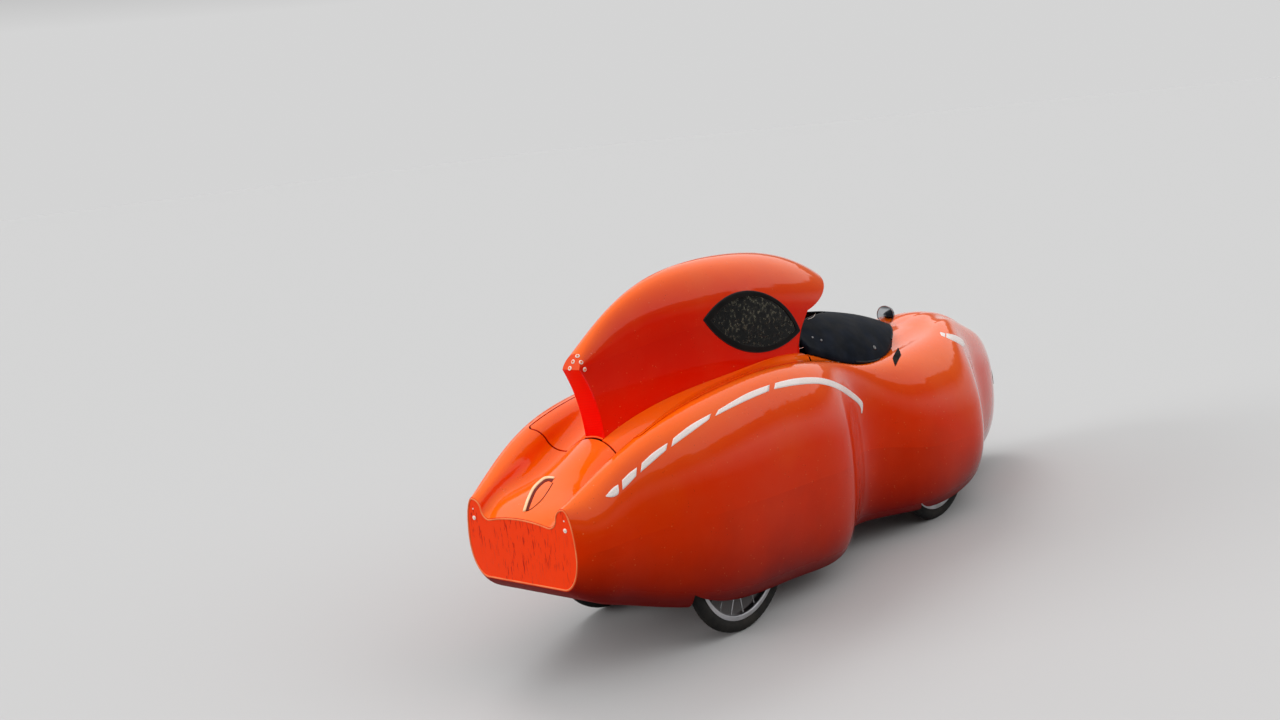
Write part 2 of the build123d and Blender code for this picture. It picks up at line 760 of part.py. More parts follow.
def seat():
    with BuildPart() as shell:
        with BuildSketch(Plane.YZ.offset(-seat_half_w)):
            with BuildLine():
                FilletPolyline(*seat_path, radius=seat_bend)
            trace(line_width=seat_wall)
        extrude(amount=2 * seat_half_w)
        add(seat_feet())
        top_y, top_z = seat_path[-1]
        with BuildSketch(Plane.XZ.offset(-top_y)):
            with Locations((0, top_z - seat_bend / 2)):
                Rectangle(2 * post_half_w, post_top_z - top_z + seat_bend / 2 - sink,
                          align=(Align.CENTER, Align.MIN))
        extrude(amount=seat_wall)
    save(shell, "seat_shell")

    pad_path = beside(seat_path, (seat_wall + seat_pad) / 2 + fit)
    with BuildPart() as pad:
        with BuildSketch(Plane.YZ.offset(-seat_pad_half_w)):
            with BuildLine():
                FilletPolyline(*pad_path, radius=seat_bend)
            trace(line_width=seat_pad)
        extrude(amount=2 * seat_pad_half_w)
    save(pad, "seat_cushion")

    with BuildPart() as rest:
        with BuildSketch(Plane.XZ.offset(-top_y - fit)):
            with Locations((0, rest_foot_z)):
                RectangleRounded(2 * rest_half_w, post_top_z - rest_foot_z, rest_corner,
                                 align=(Align.CENTER, Align.MIN))
        extrude(amount=-rest_depth)
    save(rest, "headrest")


def deck_mirror():
    with BuildPart() as housing:
        with BuildSketch(Plane.YZ):
            with BuildLine():
                Polyline((mirror_y, mirror_z), (mirror_y, mirror_z + mirror_radius),
                         *((mirror_y + depth, mirror_z + radius) for depth, radius in mirror_back),
                         (mirror_y, mirror_z))
            make_face()
        revolve(axis=Axis((0, mirror_y, mirror_z), (0, 1, 0)))
        with BuildSketch(Plane.XZ.offset(-mirror_y)):
            with Locations((0, mirror_z)):
                Circle(mirror_radius - mirror_wall)
        extrude(amount=-2 * mirror_wall, mode=Mode.SUBTRACT)
        with BuildSketch(Plane.XY.offset(mirror_z - mirror_back[0][1])):
            with Locations((0, mirror_y + mirror_back[0][0])):
                Circle(mirror_foot_radius)
        extrude(amount=-mirror_radius)
        add(seat_skin, mode=Mode.SUBTRACT)
    save(housing, "mirror_housing")

    glass_radius = mirror_radius - mirror_wall - fit
    back = mirror_y + 2 * mirror_wall - fit
    with BuildPart() as glass:
        with BuildSketch(Plane.YZ):
            with BuildLine():
                Line((back, mirror_z), (back, mirror_z + glass_radius))
                Line((back, mirror_z + glass_radius), (mirror_y, mirror_z + glass_radius))
                TangentArc((mirror_y - mirror_bulge, mirror_z), (mirror_y, mirror_z + glass_radius),
                           tangent=(0, 1))
                Line((mirror_y - mirror_bulge, mirror_z), (back, mirror_z))
            make_face()
        revolve(axis=Axis((0, mirror_y, mirror_z), (0, 1, 0)))
    save(glass, "mirror_glass")


def head_lamps():
    for name, side in sides.items():
        place = (side * lamp_x, lamp_z)
        with BuildPart() as lens:
            with BuildSketch(Plane.XZ.offset(-lamp_back_y)):
                with Locations(place):
                    Circle(lamp_radius)
            extrude(amount=-far)
            add(skin, mode=Mode.INTERSECT)
        save(lens, f"headlight_lens_{name}")
        with BuildPart() as bowl:
            with BuildSketch(Plane.XZ.offset(-lamp_back_y)):
                with Locations(place):
                    Circle(lamp_radius + lamp_wall)
            extrude(amount=-far)
            with BuildSketch(Plane.XZ.offset(-lamp_back_y - lamp_wall)):
                with Locations(place):
                    Circle(lamp_radius)
            extrude(amount=-far, mode=Mode.SUBTRACT)
            add(lining, mode=Mode.INTERSECT)
        save(bowl, f"headlight_bowl_{name}")


hull()
tail_plate()
cockpit_cover()
hood_lid()
windows()
tail_lens()
for place, y in hinge_ys.items():
    hull_hinge(place, y)
wheel_arches()
struts_and_knuckles()
swing_arms()
wheels()
seat()
deck_mirror()
head_lamps()
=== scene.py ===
import math

import bmesh
import bpy
from mathutils import Matrix, Vector
from mathutils.bvhtree import BVHTree


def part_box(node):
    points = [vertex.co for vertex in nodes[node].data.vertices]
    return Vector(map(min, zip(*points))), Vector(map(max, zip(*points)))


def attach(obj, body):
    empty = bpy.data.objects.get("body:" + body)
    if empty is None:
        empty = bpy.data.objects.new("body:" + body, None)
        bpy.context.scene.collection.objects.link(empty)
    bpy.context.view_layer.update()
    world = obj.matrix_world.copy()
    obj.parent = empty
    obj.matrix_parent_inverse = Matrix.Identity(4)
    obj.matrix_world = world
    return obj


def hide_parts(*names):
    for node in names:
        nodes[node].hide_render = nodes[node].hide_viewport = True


# Faired four-wheeled cycle with a hooded lid, in metres.
# +Y is forwards, +X its right-hand side, +Z up.

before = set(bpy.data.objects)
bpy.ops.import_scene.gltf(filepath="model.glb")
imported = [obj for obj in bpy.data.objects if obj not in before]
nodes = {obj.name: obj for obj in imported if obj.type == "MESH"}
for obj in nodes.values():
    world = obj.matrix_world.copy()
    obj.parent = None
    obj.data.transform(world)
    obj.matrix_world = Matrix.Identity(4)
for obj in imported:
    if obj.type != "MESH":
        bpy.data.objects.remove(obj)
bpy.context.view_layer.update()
scene = bpy.context.scene
print("frame:", len(nodes), "nodes")


# Shader helpers

def screenColour(red, green, blue):
    # 0 to 255 as seen on a screen, to linear
    levels = [value / 255 for value in (red, green, blue)]
    return tuple(v / 12.92 if v <= 0.04045 else ((v + 0.055) / 1.055) ** 2.4 for v in levels) + (1,)


def newMaterial(name, sockets):
    material = bpy.data.materials.new(name)
    material.use_nodes = True
    shader = material.node_tree.nodes["Principled BSDF"]
    for socket, value in sockets.items():
        shader.inputs[socket].default_value = value
    return material, material.node_tree, shader


def addNode(tree, kind, inputs=None, **settings):
    made = tree.nodes.new("ShaderNode" + kind)
    for key, value in settings.items():
        setattr(made, key, value)
    for key, value in (inputs or {}).items():
        if isinstance(value, bpy.types.NodeSocket):
            tree.links.new(value, made.inputs[key])
        else:
            made.inputs[key].default_value = value
    return made


def newGroup(name, inputs, outputs):
    group = bpy.data.node_groups.new(name, "ShaderNodeTree")
    for socket, value in inputs.items():
        made = group.interface.new_socket(socket, in_out="INPUT", socket_type="NodeSocketFloat")
        made.default_value = value
    for socket in outputs:
        group.interface.new_socket(socket, in_out="OUTPUT", socket_type="NodeSocketFloat")
    return group, group.nodes.new("NodeGroupInput"), group.nodes.new("NodeGroupOutput")


def placeGroup(tree, group, **values):
    return addNode(tree, "Group", values, node_tree=group)


def feed(tree, node, sockets):
    for socket, value in sockets.items():
        tree.links.new(value, node.inputs[socket])


def mathNode(tree, operation, a, b=0.0):
    return addNode(tree, "Math", {0: a, 1: b}, operation=operation).outputs[0]


def added(tree, first, *others):
    for other in others:
        first = mathNode(tree, "ADD", first, other)
    return first


def times(tree, a, b):
    return mathNode(tree, "MULTIPLY", a, b)


def fromOne(tree, value):
    return mathNode(tree, "SUBTRACT", 1.0, value)


def remap(tree, value, low, high, toLow=0.0, toHigh=1.0):
    ends = {"From Min": low, "From Max": high, "To Min": toLow, "To Max": toHigh}
    return addNode(tree, "MapRange", {"Value": value, **ends}).outputs["Result"]


def mixColour(tree, factor, a, b):
    return addNode(tree, "Mix", {0: factor, 6: a, 7: b}, data_type="RGBA").outputs[2]


def objectPlace(tree):
    return addNode(tree, "TexCoord").outputs["Object"]


def noise(tree, place, scale, detail, roughness=0.5):
    inputs = {"Vector": place, "Scale": scale, "Detail": detail, "Roughness": roughness}
    return addNode(tree, "TexNoise", inputs).outputs["Fac"]


def marked(tree, colour, group, scale, amount, mark):
    # a colour with the marks of a shared effect on it, and the mask of where they are
    mask = placeGroup(tree, group, Scale=scale, Amount=amount).outputs["Mask"]
    return mixColour(tree, mask, colour, mark), mask


def addBump(tree, shader, height, strength, distance):
    bump = addNode(tree, "Bump", {"Height": height, "Strength": strength, "Distance": distance})
    feed(tree, shader, {"Normal": bump.outputs["Normal"]})


def seenDirectly(tree):
    # 1 for what the camera sees, also in a mirror or through glass, and 0 for the light it gives
    path = addNode(tree, "LightPath")
    seen = mathNode(tree, "MAXIMUM", path.outputs["Is Camera Ray"], path.outputs["Is Glossy Ray"])
    return mathNode(tree, "MAXIMUM", seen, path.outputs["Is Transmission Ray"])


# Camera, at the photograph's angle

camera = {
    "place": (2.79653, -3.98107, 1.55222),
    "yaw": 41.441,          # degrees, from +Y towards -X
    "pitch": 9.633,         # downwards
    "roll": -6.51,
    "focal": 1400 / 1280,   # share of the frame's width
    "frame": (1280, 720),   # of the photograph, in pixels
    "sensor": 36,           # in millimetres
    "farthest": 200,
}


def addCamera(spec):
    yaw, pitch, roll = (math.radians(spec[key]) for key in ("yaw", "pitch", "roll"))
    ahead = Vector((-math.sin(yaw) * math.cos(pitch), math.cos(yaw) * math.cos(pitch), -math.sin(pitch)))
    level = Vector((math.cos(yaw), math.sin(yaw), 0))
    upright = level.cross(ahead)
    right = level * math.cos(roll) + upright * math.sin(roll)
    up = upright * math.cos(roll) - level * math.sin(roll)
    data = bpy.data.cameras.new("camera")
    data.sensor_width = spec["sensor"]
    data.lens = spec["sensor"] * spec["focal"]
    data.clip_end = spec["farthest"]
    holder = bpy.data.objects.new("camera", data)
    turn = Matrix((right, up, -ahead)).transposed()
    holder.matrix_world = Matrix.Translation(spec["place"]) @ turn.to_4x4()
    scene.collection.objects.link(holder)
    scene.camera = holder
    return turn


cameraTurn = addCamera(camera)


def photoRay(px, py):
    # the line of sight through a pixel of the photograph
    width, height = camera["frame"]
    reach = width * camera["focal"]
    towards = Vector(((px - width / 2) / reach, (height / 2 - py) / reach, -1))
    return Vector(camera["place"]), cameraTurn @ towards.normalized()


# Floor, background and light

studio = {
    "floor": 0.50,
    "floorBounce": 0.14,        # what the floor gives back to the object
    "floorRoughness": 0.9,
    "floorWidth": 160,
    "background": 0.66,
    "backdropTo": (0.10, 0.20), # rise of the line of sight over which the backdrop ends
    "horizon": 0.16,
    "sky": 1.0,
    "skyFrom": (0.30, 0.325),   # rise at which the sky brightens
    "skyEdge": 0.035,           # how uneven that edge is
    "skyWaves": (8.0, 5.0),     # scale and detail of that edge
    "suns": {
        # towards it, strength, width in degrees
        "sunHigh": ((-0.50, 0.30, 0.81), 0.68, 24),
        "sunBehind": ((-0.52, -0.80, 0.30), 1.45, 30),
        "sunSide": ((0.74, 0.34, 0.58), 0.40, 40),
    },
}


def addFloor(spec):
    bpy.ops.mesh.primitive_plane_add(size=spec["floorWidth"])
    floor = bpy.context.object
    floor.name = "floor"
    material, tree, shader = newMaterial("floor", {"Roughness": spec["floorRoughness"]})
    bounced, shown = ((spec[key],) * 3 + (1,) for key in ("floorBounce", "floor"))
    feed(tree, shader, {"Base Color": mixColour(tree, seenDirectly(tree), bounced, shown)})
    floor.data.materials.append(material)


def addWorld(spec):
    world = bpy.data.worlds.new("studio")
    scene.world = world
    world.use_nodes = True
    tree = world.node_tree
    tree.nodes.clear()
    towards = addNode(tree, "TexCoord").outputs["Generated"]
    rise = addNode(tree, "SeparateXYZ", {0: towards}).outputs["Z"]
    waves = noise(tree, towards, *spec["skyWaves"])
    edge = added(tree, rise, remap(tree, waves, 0.3, 0.7, -spec["skyEdge"], spec["skyEdge"]))
    sky = remap(tree, edge, *spec["skyFrom"], spec["horizon"], spec["sky"])
    backdrop = remap(tree, rise, *spec["backdropTo"], spec["background"], spec["horizon"])
    shown = mathNode(tree, "MAXIMUM", backdrop, sky)
    level = addNode(tree, "Mix", {0: seenDirectly(tree), 2: sky, 3: shown}, data_type="FLOAT").outputs[0]
    light = addNode(tree, "Background", {"Color": (1, 1, 1, 1), "Strength": level})
    feed(tree, addNode(tree, "OutputWorld"), {"Surface": light.outputs["Background"]})


def addSuns(spec):
    for name, (towards, strength, width) in spec.items():
        data = bpy.data.lights.new(name, "SUN")
        data.energy = strength
        data.angle = math.radians(width)
        lamp = bpy.data.objects.new(name, data)
        lamp.rotation_euler = Vector(towards).to_track_quat("Z", "Y").to_euler()
        lamp.visible_glossy = False
        scene.collection.objects.link(lamp)


addFloor(studio)
addWorld(studio)
addSuns(studio["suns"])
scene.view_settings.view_transform = "Standard"
print("stage, light and camera set")


# Effects that several materials share

speckLook = {"edge": (0.10, 0.22), "patchScale": 38.0, "patches": (0.56, 0.68)}


def makeSpecks(spec=speckLook):
    # small specks of dust or chips, in patches
    group, given, result = newGroup("Specks", {"Scale": 300.0, "Amount": 0.5}, ["Mask"])
    place = objectPlace(group)
    cells = addNode(group, "TexVoronoi", {"Vector": place, "Scale": given.outputs["Scale"]})
    dots = remap(group, cells.outputs["Distance"], *spec["edge"], 1.0, 0.0)
    patches = remap(group, noise(group, place, spec["patchScale"], 3.0), *spec["patches"])
    mask = times(group, dots, patches)
    feed(group, result, {"Mask": times(group, mask, given.outputs["Amount"])})
    return group


dustLook = {"clouds": (0.42, 0.72), "facing": (-0.4, 1.0), "underneath": 0.15}


def makeDust(spec=dustLook):
    # a film that lies thicker on what faces up
    group, given, result = newGroup("DustFilm", {"Scale": 6.0, "Amount": 0.3}, ["Mask"])
    coords = addNode(group, "TexCoord")
    clouds = noise(group, coords.outputs["Object"], given.outputs["Scale"], 7.0)
    film = remap(group, clouds, *spec["clouds"])
    facing = addNode(group, "SeparateXYZ", {0: coords.outputs["Normal"]}).outputs["Z"]
    upward = remap(group, facing, *spec["facing"], spec["underneath"], 1.0)
    mask = times(group, film, upward)
    feed(group, result, {"Mask": times(group, mask, given.outputs["Amount"])})
    return group


scratchLook = {
    "turns": (0.35, -0.8),
    "stretch": 0.09,
    "width": 0.0025,
    "patchScale": 6.0,
    "patches": (0.58, 0.68),
}


def makeScratches(spec=scratchLook):
    # long thin lines in two directions, in patches
    group, given, result = newGroup("Scratches", {"Scale": 9.0, "Amount": 0.4}, ["Mask"])
    place = objectPlace(group)
    lines = []
    for turn in spec["turns"]:
        stretched = addNode(group, "Mapping", {"Vector": place, "Rotation": (turn, turn / 2, turn),
                                               "Scale": (1.0, spec["stretch"], 1.0)})
        waves = noise(group, stretched.outputs[0], given.outputs["Scale"], 2.0)
        away = mathNode(group, "ABSOLUTE", mathNode(group, "SUBTRACT", waves, 0.5))
        lines.append(remap(group, away, 0.0, spec["width"], 1.0, 0.0))
    both = mathNode(group, "MAXIMUM", lines[0], lines[1])
    patches = noise(group, place, spec["patchScale"], 5.0)
    some = times(group, both, remap(group, patches, *spec["patches"]))
    feed(group, result, {"Mask": times(group, some, given.outputs["Amount"])})
    return group


def makeGrain():
    # moulded grain of plastic, foam and cast metal
    group, given, result = newGroup("Grain", {"Scale": 700.0, "Depth": 1.0}, ["Height"])
    place = objectPlace(group)
    cells = addNode(group, "TexVoronoi", {"Vector": place, "Scale": given.outputs["Scale"]})
    fine = noise(group, place, given.outputs["Scale"], 4.0)
    both = added(group, cells.outputs["Distance"], fine)
    feed(group, result, {"Height": times(group, both, given.outputs["Depth"])})
    return group


weaveLook = {"uneven": {"Distortion": 1.5, "Detail Scale": 0.4}, "raised": (0.1, 0.6)}


def makeWeave(spec=weaveLook):
    # crossing threads
    group, given, result = newGroup("Weave", {"Scale": 420.0}, ["Height", "Mask"])
    place = objectPlace(group)
    threads = []
    for direction in ("X", "DIAGONAL"):
        inputs = {"Vector": place, "Scale": given.outputs["Scale"], **spec["uneven"]}
        threads.append(addNode(group, "TexWave", inputs, bands_direction=direction).outputs["Fac"])
    height = times(group, threads[0], threads[1])
    feed(group, result, {"Height": height, "Mask": remap(group, height, *spec["raised"])})
    return group


lining = {
    "noseFrom": 0.95,       # from here to the tip the line of widest points drops
    "noseTip": 1.402,
    "noseDrop": 0.14,
    "slope": 0.3,           # what leans further than this faces up or down
    "inward": -0.002,
    "deckBehind": -0.85,    # the tail deck is behind and above these
    "deckAbove": 0.46,
}


def makeInside(spec=lining):
    # 1 on the inner faces of the hull, the lid and the hood: below the line along their widest
    # points what faces up is inside, above it what faces down, and else what faces the middle,
    # apart from the flanks of the tail deck
    group, given, result = newGroup("InnerFace", {"Widest": 0.44}, ["Mask"])
    coords = addNode(group, "TexCoord")
    place = addNode(group, "SeparateXYZ", {0: coords.outputs["Object"]})
    facing = addNode(group, "SeparateXYZ", {0: coords.outputs["Normal"]})
    drop = remap(group, place.outputs["Y"], spec["noseFrom"], spec["noseTip"], 0.0, spec["noseDrop"])
    line = mathNode(group, "SUBTRACT", given.outputs["Widest"], drop)
    low = mathNode(group, "LESS_THAN", place.outputs["Z"], line)
    up = mathNode(group, "GREATER_THAN", facing.outputs["Z"], spec["slope"])
    down = mathNode(group, "LESS_THAN", facing.outputs["Z"], -spec["slope"])
    level = fromOne(group, added(group, up, down))
    across = times(group, place.outputs["X"], facing.outputs["X"])
    inward = times(group, level, mathNode(group, "LESS_THAN", across, spec["inward"]))
    behind = mathNode(group, "LESS_THAN", place.outputs["Y"], spec["deckBehind"])
    above = mathNode(group, "GREATER_THAN", place.outputs["Z"], spec["deckAbove"])
    inward = times(group, inward, fromOne(group, times(group, behind, above)))
    floor = times(group, up, low)
    ceiling = times(group, down, fromOne(group, low))
    feed(group, result, {"Mask": added(group, inward, added(group, floor, ceiling))})
    return group


specks = makeSpecks()
dust = makeDust()
scratches = makeScratches()
grain = makeGrain()
weave = makeWeave()
innerFace = makeInside()


# Gelcoat of the hull, the lid and the hood

gelcoat = {
    "innerLine": 0.44,
    # up, side and under are painted light and shade: the top lit, the sides and the underside shaded
    "up": screenColour(250, 98, 4),
    "upFrom": (0.1, 0.75),
    "side": screenColour(232, 50, 0),
    "sideFrom": (-0.5, 0.05),
    "under": screenColour(136, 4, 0),
    # how far the edges between the painted light and shade wander
    "paintedShadeWobble": 0.12,
    # scale, amount and colour of what lies on it
    "film": (9.0, 0.10, screenColour(206, 120, 80)),
    "splashes": (130.0, 0.5, screenColour(70, 18, 12)),
    "chips": (85.0, 0.45, screenColour(246, 150, 100)),
    "rubs": (11.0, 0.10, screenColour(246, 150, 100)),
    "laminate": screenColour(26, 24, 24),
    "roughness": 0.04,
    "rubbed": 0.4,           # roughness that rubs, the inside and splashes add
    "inside": 0.4,
    "splashed": 0.3,
    "underneath": (-0.25, -0.75, 0.0, 0.6),    # facing, and roughness that it adds
    "coat": (0.02, 0.60),    # on the sides, where road film dulls it, and on top
    "coatFrom": (0.15, 0.26),
    "peel": (75.0, 0.06),    # scale and height
    "waves": (6.0, 0.9),
    "bump": (0.22, 0.002),
}

# the hood's copy of the gelcoat, with a deeper red painted shade on its walls and underside
hoodShadedGelcoat = {**gelcoat, "side": screenColour(224, 28, 0), "under": screenColour(196, 2, 0)}


def makeGelcoat(name, spec=gelcoat):
    material, tree, shader = newMaterial(name, {
        "Coat Roughness": 0.04, "Coat IOR": 1.5, "IOR": 1.5, "Specular IOR Level": 0.12,
        "Specular Tint": screenColour(255, 120, 60)})
    coords = addNode(tree, "TexCoord")
    place = coords.outputs["Object"]
    # painted light and shade: brighter orange where it faces up, darker red on the sides and deepest red
    # underneath, with uneven edges between the shades
    facing = addNode(tree, "SeparateXYZ", {0: coords.outputs["Normal"]}).outputs["Z"]
    paintedShadeWobble = remap(tree, noise(tree, place, 2.4, 4.0), 0.3, 0.7, -spec["paintedShadeWobble"], spec["paintedShadeWobble"])
    uneven = added(tree, facing, paintedShadeWobble)
    colour = mixColour(tree, remap(tree, uneven, *spec["sideFrom"]), spec["under"], spec["side"])
    colour = mixColour(tree, remap(tree, uneven, *spec["upFrom"]), colour, spec["up"])
    colour, film = marked(tree, colour, dust, *spec["film"])
    colour, splashes = marked(tree, colour, specks, *spec["splashes"])
    colour = marked(tree, colour, specks, *spec["chips"])[0]
    colour, rubs = marked(tree, colour, scratches, *spec["rubs"])
    inside = placeGroup(tree, innerFace, Widest=spec["innerLine"]).outputs["Mask"]
    colour = mixColour(tree, inside, colour, spec["laminate"])
    rough = added(tree, film, spec["roughness"], times(tree, rubs, spec["rubbed"]),
                  times(tree, inside, spec["inside"]), remap(tree, facing, *spec["underneath"]),
                  times(tree, splashes, spec["splashed"]))
    shine = remap(tree, facing, *spec["coatFrom"], *spec["coat"])
    shine = times(tree, shine, fromOne(tree, inside))
    feed(tree, shader, {"Base Color": colour, "Roughness": rough, "Coat Weight": shine})
    peelScale, peelHeight = spec["peel"]
    waveScale, waveHeight = spec["waves"]
    height = added(tree, times(tree, noise(tree, place, peelScale, 2.0), peelHeight),
                   times(tree, noise(tree, place, waveScale, 1.0), waveHeight))
    addBump(tree, shader, height, *spec["bump"])
    return material


# Plain finishes: colour, second colour, roughness, metallic, grain scale and depth

finishes = {
    "foam": (screenColour(11, 16, 24), screenColour(24, 30, 41), 0.50, 0.0, 900.0, 0.30),
    "binding": (screenColour(12, 13, 16), screenColour(24, 25, 28), 0.42, 0.0, 1100.0, 0.20),
    "steel": (screenColour(150, 150, 152), screenColour(118, 116, 114), 0.32, 1.0, 1400.0, 0.10),
    "washer": (screenColour(252, 238, 228), screenColour(240, 214, 198), 0.34, 0.0, 1400.0, 0.06),
    "liner": (screenColour(34, 34, 36), screenColour(52, 50, 48), 0.62, 0.0, 320.0, 0.30),
    "strut": (screenColour(30, 30, 32), screenColour(44, 44, 46), 0.30, 0.6, 1400.0, 0.08),
    "alloy": (screenColour(196, 198, 202), screenColour(168, 168, 170), 0.30, 1.0, 1600.0, 0.08),
    "rubber": (screenColour(30, 30, 30), screenColour(52, 49, 46), 0.78, 0.0, 900.0, 0.35),
    "laminate": (screenColour(32, 32, 36), screenColour(46, 46, 50), 0.42, 0.0, 260.0, 0.25),
    "blackPlastic": (screenColour(5, 4, 4), screenColour(11, 9, 9), 0.30, 0.0, 1300.0, 0.10),
    "chrome": (screenColour(196, 198, 202), screenColour(150, 150, 154), 0.07, 1.0, 1800.0, 0.02),
    # cream: a painted highlight on the grip's lip
    "lipHighlightCream": (screenColour(252, 214, 172), screenColour(242, 184, 134), 0.34, 0.0, 900.0, 0.10),
    # dark red: painted shade in the grip and round the slots
    "shadeRed": (screenColour(120, 22, 4), screenColour(84, 14, 4), 0.50, 0.0, 700.0, 0.20),
    # near black: painted shadow in the slot mouths
    "shadowBlack": (screenColour(10, 7, 7), screenColour(18, 12, 11), 0.85, 0.0, 500.0, 0.20),
    # pale orange: a painted highlight on the tail plate's rim, and the colour of the hood's screw heads
    "edgeHighlightAndScrewHead": (screenColour(250, 140, 84), screenColour(240, 104, 52), 0.28, 0.0, 900.0, 0.08),
    "phosphor": (screenColour(230, 214, 120), screenColour(214, 190, 90), 0.40, 0.0, 1800.0, 0.20),
}

wear = {
    "specular": {"foam": 0.04, "blackPlastic": 0.08},
    "specularElse": 0.2,
    "clouds": (18.0, 6.0),      # scale and detail
    "blend": (0.4, 0.7),
    "cloudRoughness": 0.1,
    "film": (14.0, 0.05, screenColour(150, 142, 132)),
    "bump": (0.5, 0.0004),
}


def makeFinish(name, spec=wear):
    colour, second, roughness, metallic, scale, depth = finishes[name]
    material, tree, shader = newMaterial(name, {
        "Metallic": metallic, "Specular IOR Level": spec["specular"].get(name, spec["specularElse"])})
    blend = remap(tree, noise(tree, objectPlace(tree), *spec["clouds"]), *spec["blend"])
    shade, film = marked(tree, mixColour(tree, blend, colour, second), dust, *spec["film"])
    rough = added(tree, times(tree, blend, spec["cloudRoughness"]), roughness, film)
    feed(tree, shader, {"Base Color": shade, "Roughness": rough})
    height = placeGroup(tree, grain, Scale=scale, Depth=depth).outputs["Height"]
    addBump(tree, shader, height, *spec["bump"])
    return material


fabric = {
    "thread": screenColour(34, 35, 38),
    "gap": screenColour(12, 12, 13),
    "scale": 260.0,
    "film": (20.0, 0.2, screenColour(120, 115, 108)),
    "bump": (0.6, 0.0008),
}


def makeFabric(name, spec=fabric):
    material, tree, shader = newMaterial(name, {
        "Roughness": 0.9, "Sheen Weight": 0.35, "Sheen Roughness": 0.5})
    threads = placeGroup(tree, weave, Scale=spec["scale"])
    shade = mixColour(tree, threads.outputs["Mask"], spec["gap"], spec["thread"])
    feed(tree, shader, {"Base Color": marked(tree, shade, dust, *spec["film"])[0]})
    addBump(tree, shader, threads.outputs["Height"], *spec["bump"])
    return material


tailSheet = {
    "colour": screenColour(255, 62, 6),
    "streak": screenColour(176, 14, 0),
    "lean": -0.12,
    "squeeze": (230.0, 1.0, 26.0),
    "streaks": (0.58, 0.64),
    "patches": (0.40, 0.56, 0.15, 0.9),
    "chips": (240.0, 0.3, screenColour(250, 150, 110)),
    "roughness": 0.24,
    "streakRoughness": 0.25,
    "bump": (0.3, 0.0006),
}


def makeTailSheet(name, spec=tailSheet):
    # red sheet with runs and scrapes that go down it
    material, tree, shader = newMaterial(name, {
        "Coat Weight": 0.06, "Coat Roughness": 0.12, "Specular IOR Level": 0.3,
        "Specular Tint": screenColour(255, 90, 40)})
    place = objectPlace(tree)
    squeezed = addNode(tree, "Mapping", {"Vector": place, "Rotation": (0.0, spec["lean"], 0.0),
                                         "Scale": spec["squeeze"]})
    runs = noise(tree, squeezed.outputs[0], 1.0, 3.0)
    patches = remap(tree, noise(tree, place, 9.0, 3.0), *spec["patches"])
    streaks = times(tree, remap(tree, runs, *spec["streaks"]), patches)
    colour = mixColour(tree, streaks, spec["colour"], spec["streak"])
    colour = marked(tree, colour, specks, *spec["chips"])[0]
    rough = added(tree, times(tree, streaks, spec["streakRoughness"]), spec["roughness"])
    feed(tree, shader, {"Base Color": colour, "Roughness": rough})
    addBump(tree, shader, runs, *spec["bump"])
    return material


glass = {
    # tint, colour of the dirt and painted reflection, roughness, how much of them, transmission, refraction
    # the window's nearly black tint is painted shade, standing in for the dark cabin behind it
    "window": (screenColour(1, 1, 1), screenColour(116, 112, 94), 0.03, 0.10, 0.70, 1.24),
    "lamp": (screenColour(232, 236, 238), screenColour(200, 198, 190), 0.03, 0.04, 1.0, 1.49),
}

glassDirtAndReflection = {
    "film": (16.0, 0.4),      # scale, and amount for each unit of dirt
    "spots": (210.0, 0.8),    # scale and amount
    "runs": (80.0, 4.0, 0.6),
    "runEdge": (0.50, 0.62),
    "runAmount": 7,
    "roughness": 0.4,
}


def makeGlass(name, tint, dirtAndReflection, roughness, dirtAndReflectionAmount, transmission, refraction, spec=glassDirtAndReflection):
    # with a mottled film of spots and runs: dirt on the lamp glass, and on the window a painted reflection as
    # well as dirt
    material, tree, shader = newMaterial(name, {"Transmission Weight": transmission, "IOR": refraction})
    filmScale, filmAmount = spec["film"]
    spotScale, spotAmount = spec["spots"]
    film = placeGroup(tree, dust, Scale=filmScale, Amount=filmAmount * dirtAndReflectionAmount).outputs["Mask"]
    spots = placeGroup(tree, specks, Scale=spotScale, Amount=spotAmount).outputs["Mask"]
    runs = remap(tree, noise(tree, objectPlace(tree), *spec["runs"]), *spec["runEdge"])
    runs = times(tree, runs, spec["runAmount"] * dirtAndReflectionAmount)
    marks = mathNode(tree, "MAXIMUM", mathNode(tree, "MAXIMUM", film, runs), spots)
    rough = added(tree, times(tree, marks, spec["roughness"]), roughness)
    feed(tree, shader, {"Base Color": mixColour(tree, marks, tint, dirtAndReflection), "Roughness": rough})
    return material


redLens = {
    "ribs": 60.0,
    "colours": (screenColour(240, 3, 0), screenColour(250, 6, 1)),
    "film": (22.0, 0.12, screenColour(220, 90, 70)),
    "roughness": 0.18,
    "bump": (0.05, 0.0002),
}


def makeLensRed(name, spec=redLens):
    material, tree, shader = newMaterial(name, {
        "Coat Weight": 0.15, "Coat Roughness": 0.06, "Specular IOR Level": 0.2})
    inputs = {"Vector": objectPlace(tree), "Scale": spec["ribs"]}
    ribs = addNode(tree, "TexWave", inputs, bands_direction="Z").outputs["Fac"]
    colour, film = marked(tree, mixColour(tree, ribs, *spec["colours"]), dust, *spec["film"])
    feed(tree, shader, {"Base Color": colour, "Roughness": added(tree, film, spec["roughness"])})
    addBump(tree, shader, ribs, *spec["bump"])
    return material


tapeLook = {
    "cells": 330.0,
    "line": 0.06,
    "colours": (screenColour(250, 238, 234), screenColour(214, 202, 198)),
    "film": (12.0, 0.25, screenColour(214, 184, 168)),
    "roughness": 0.34,
    "bump": (0.15, 0.0003),
}


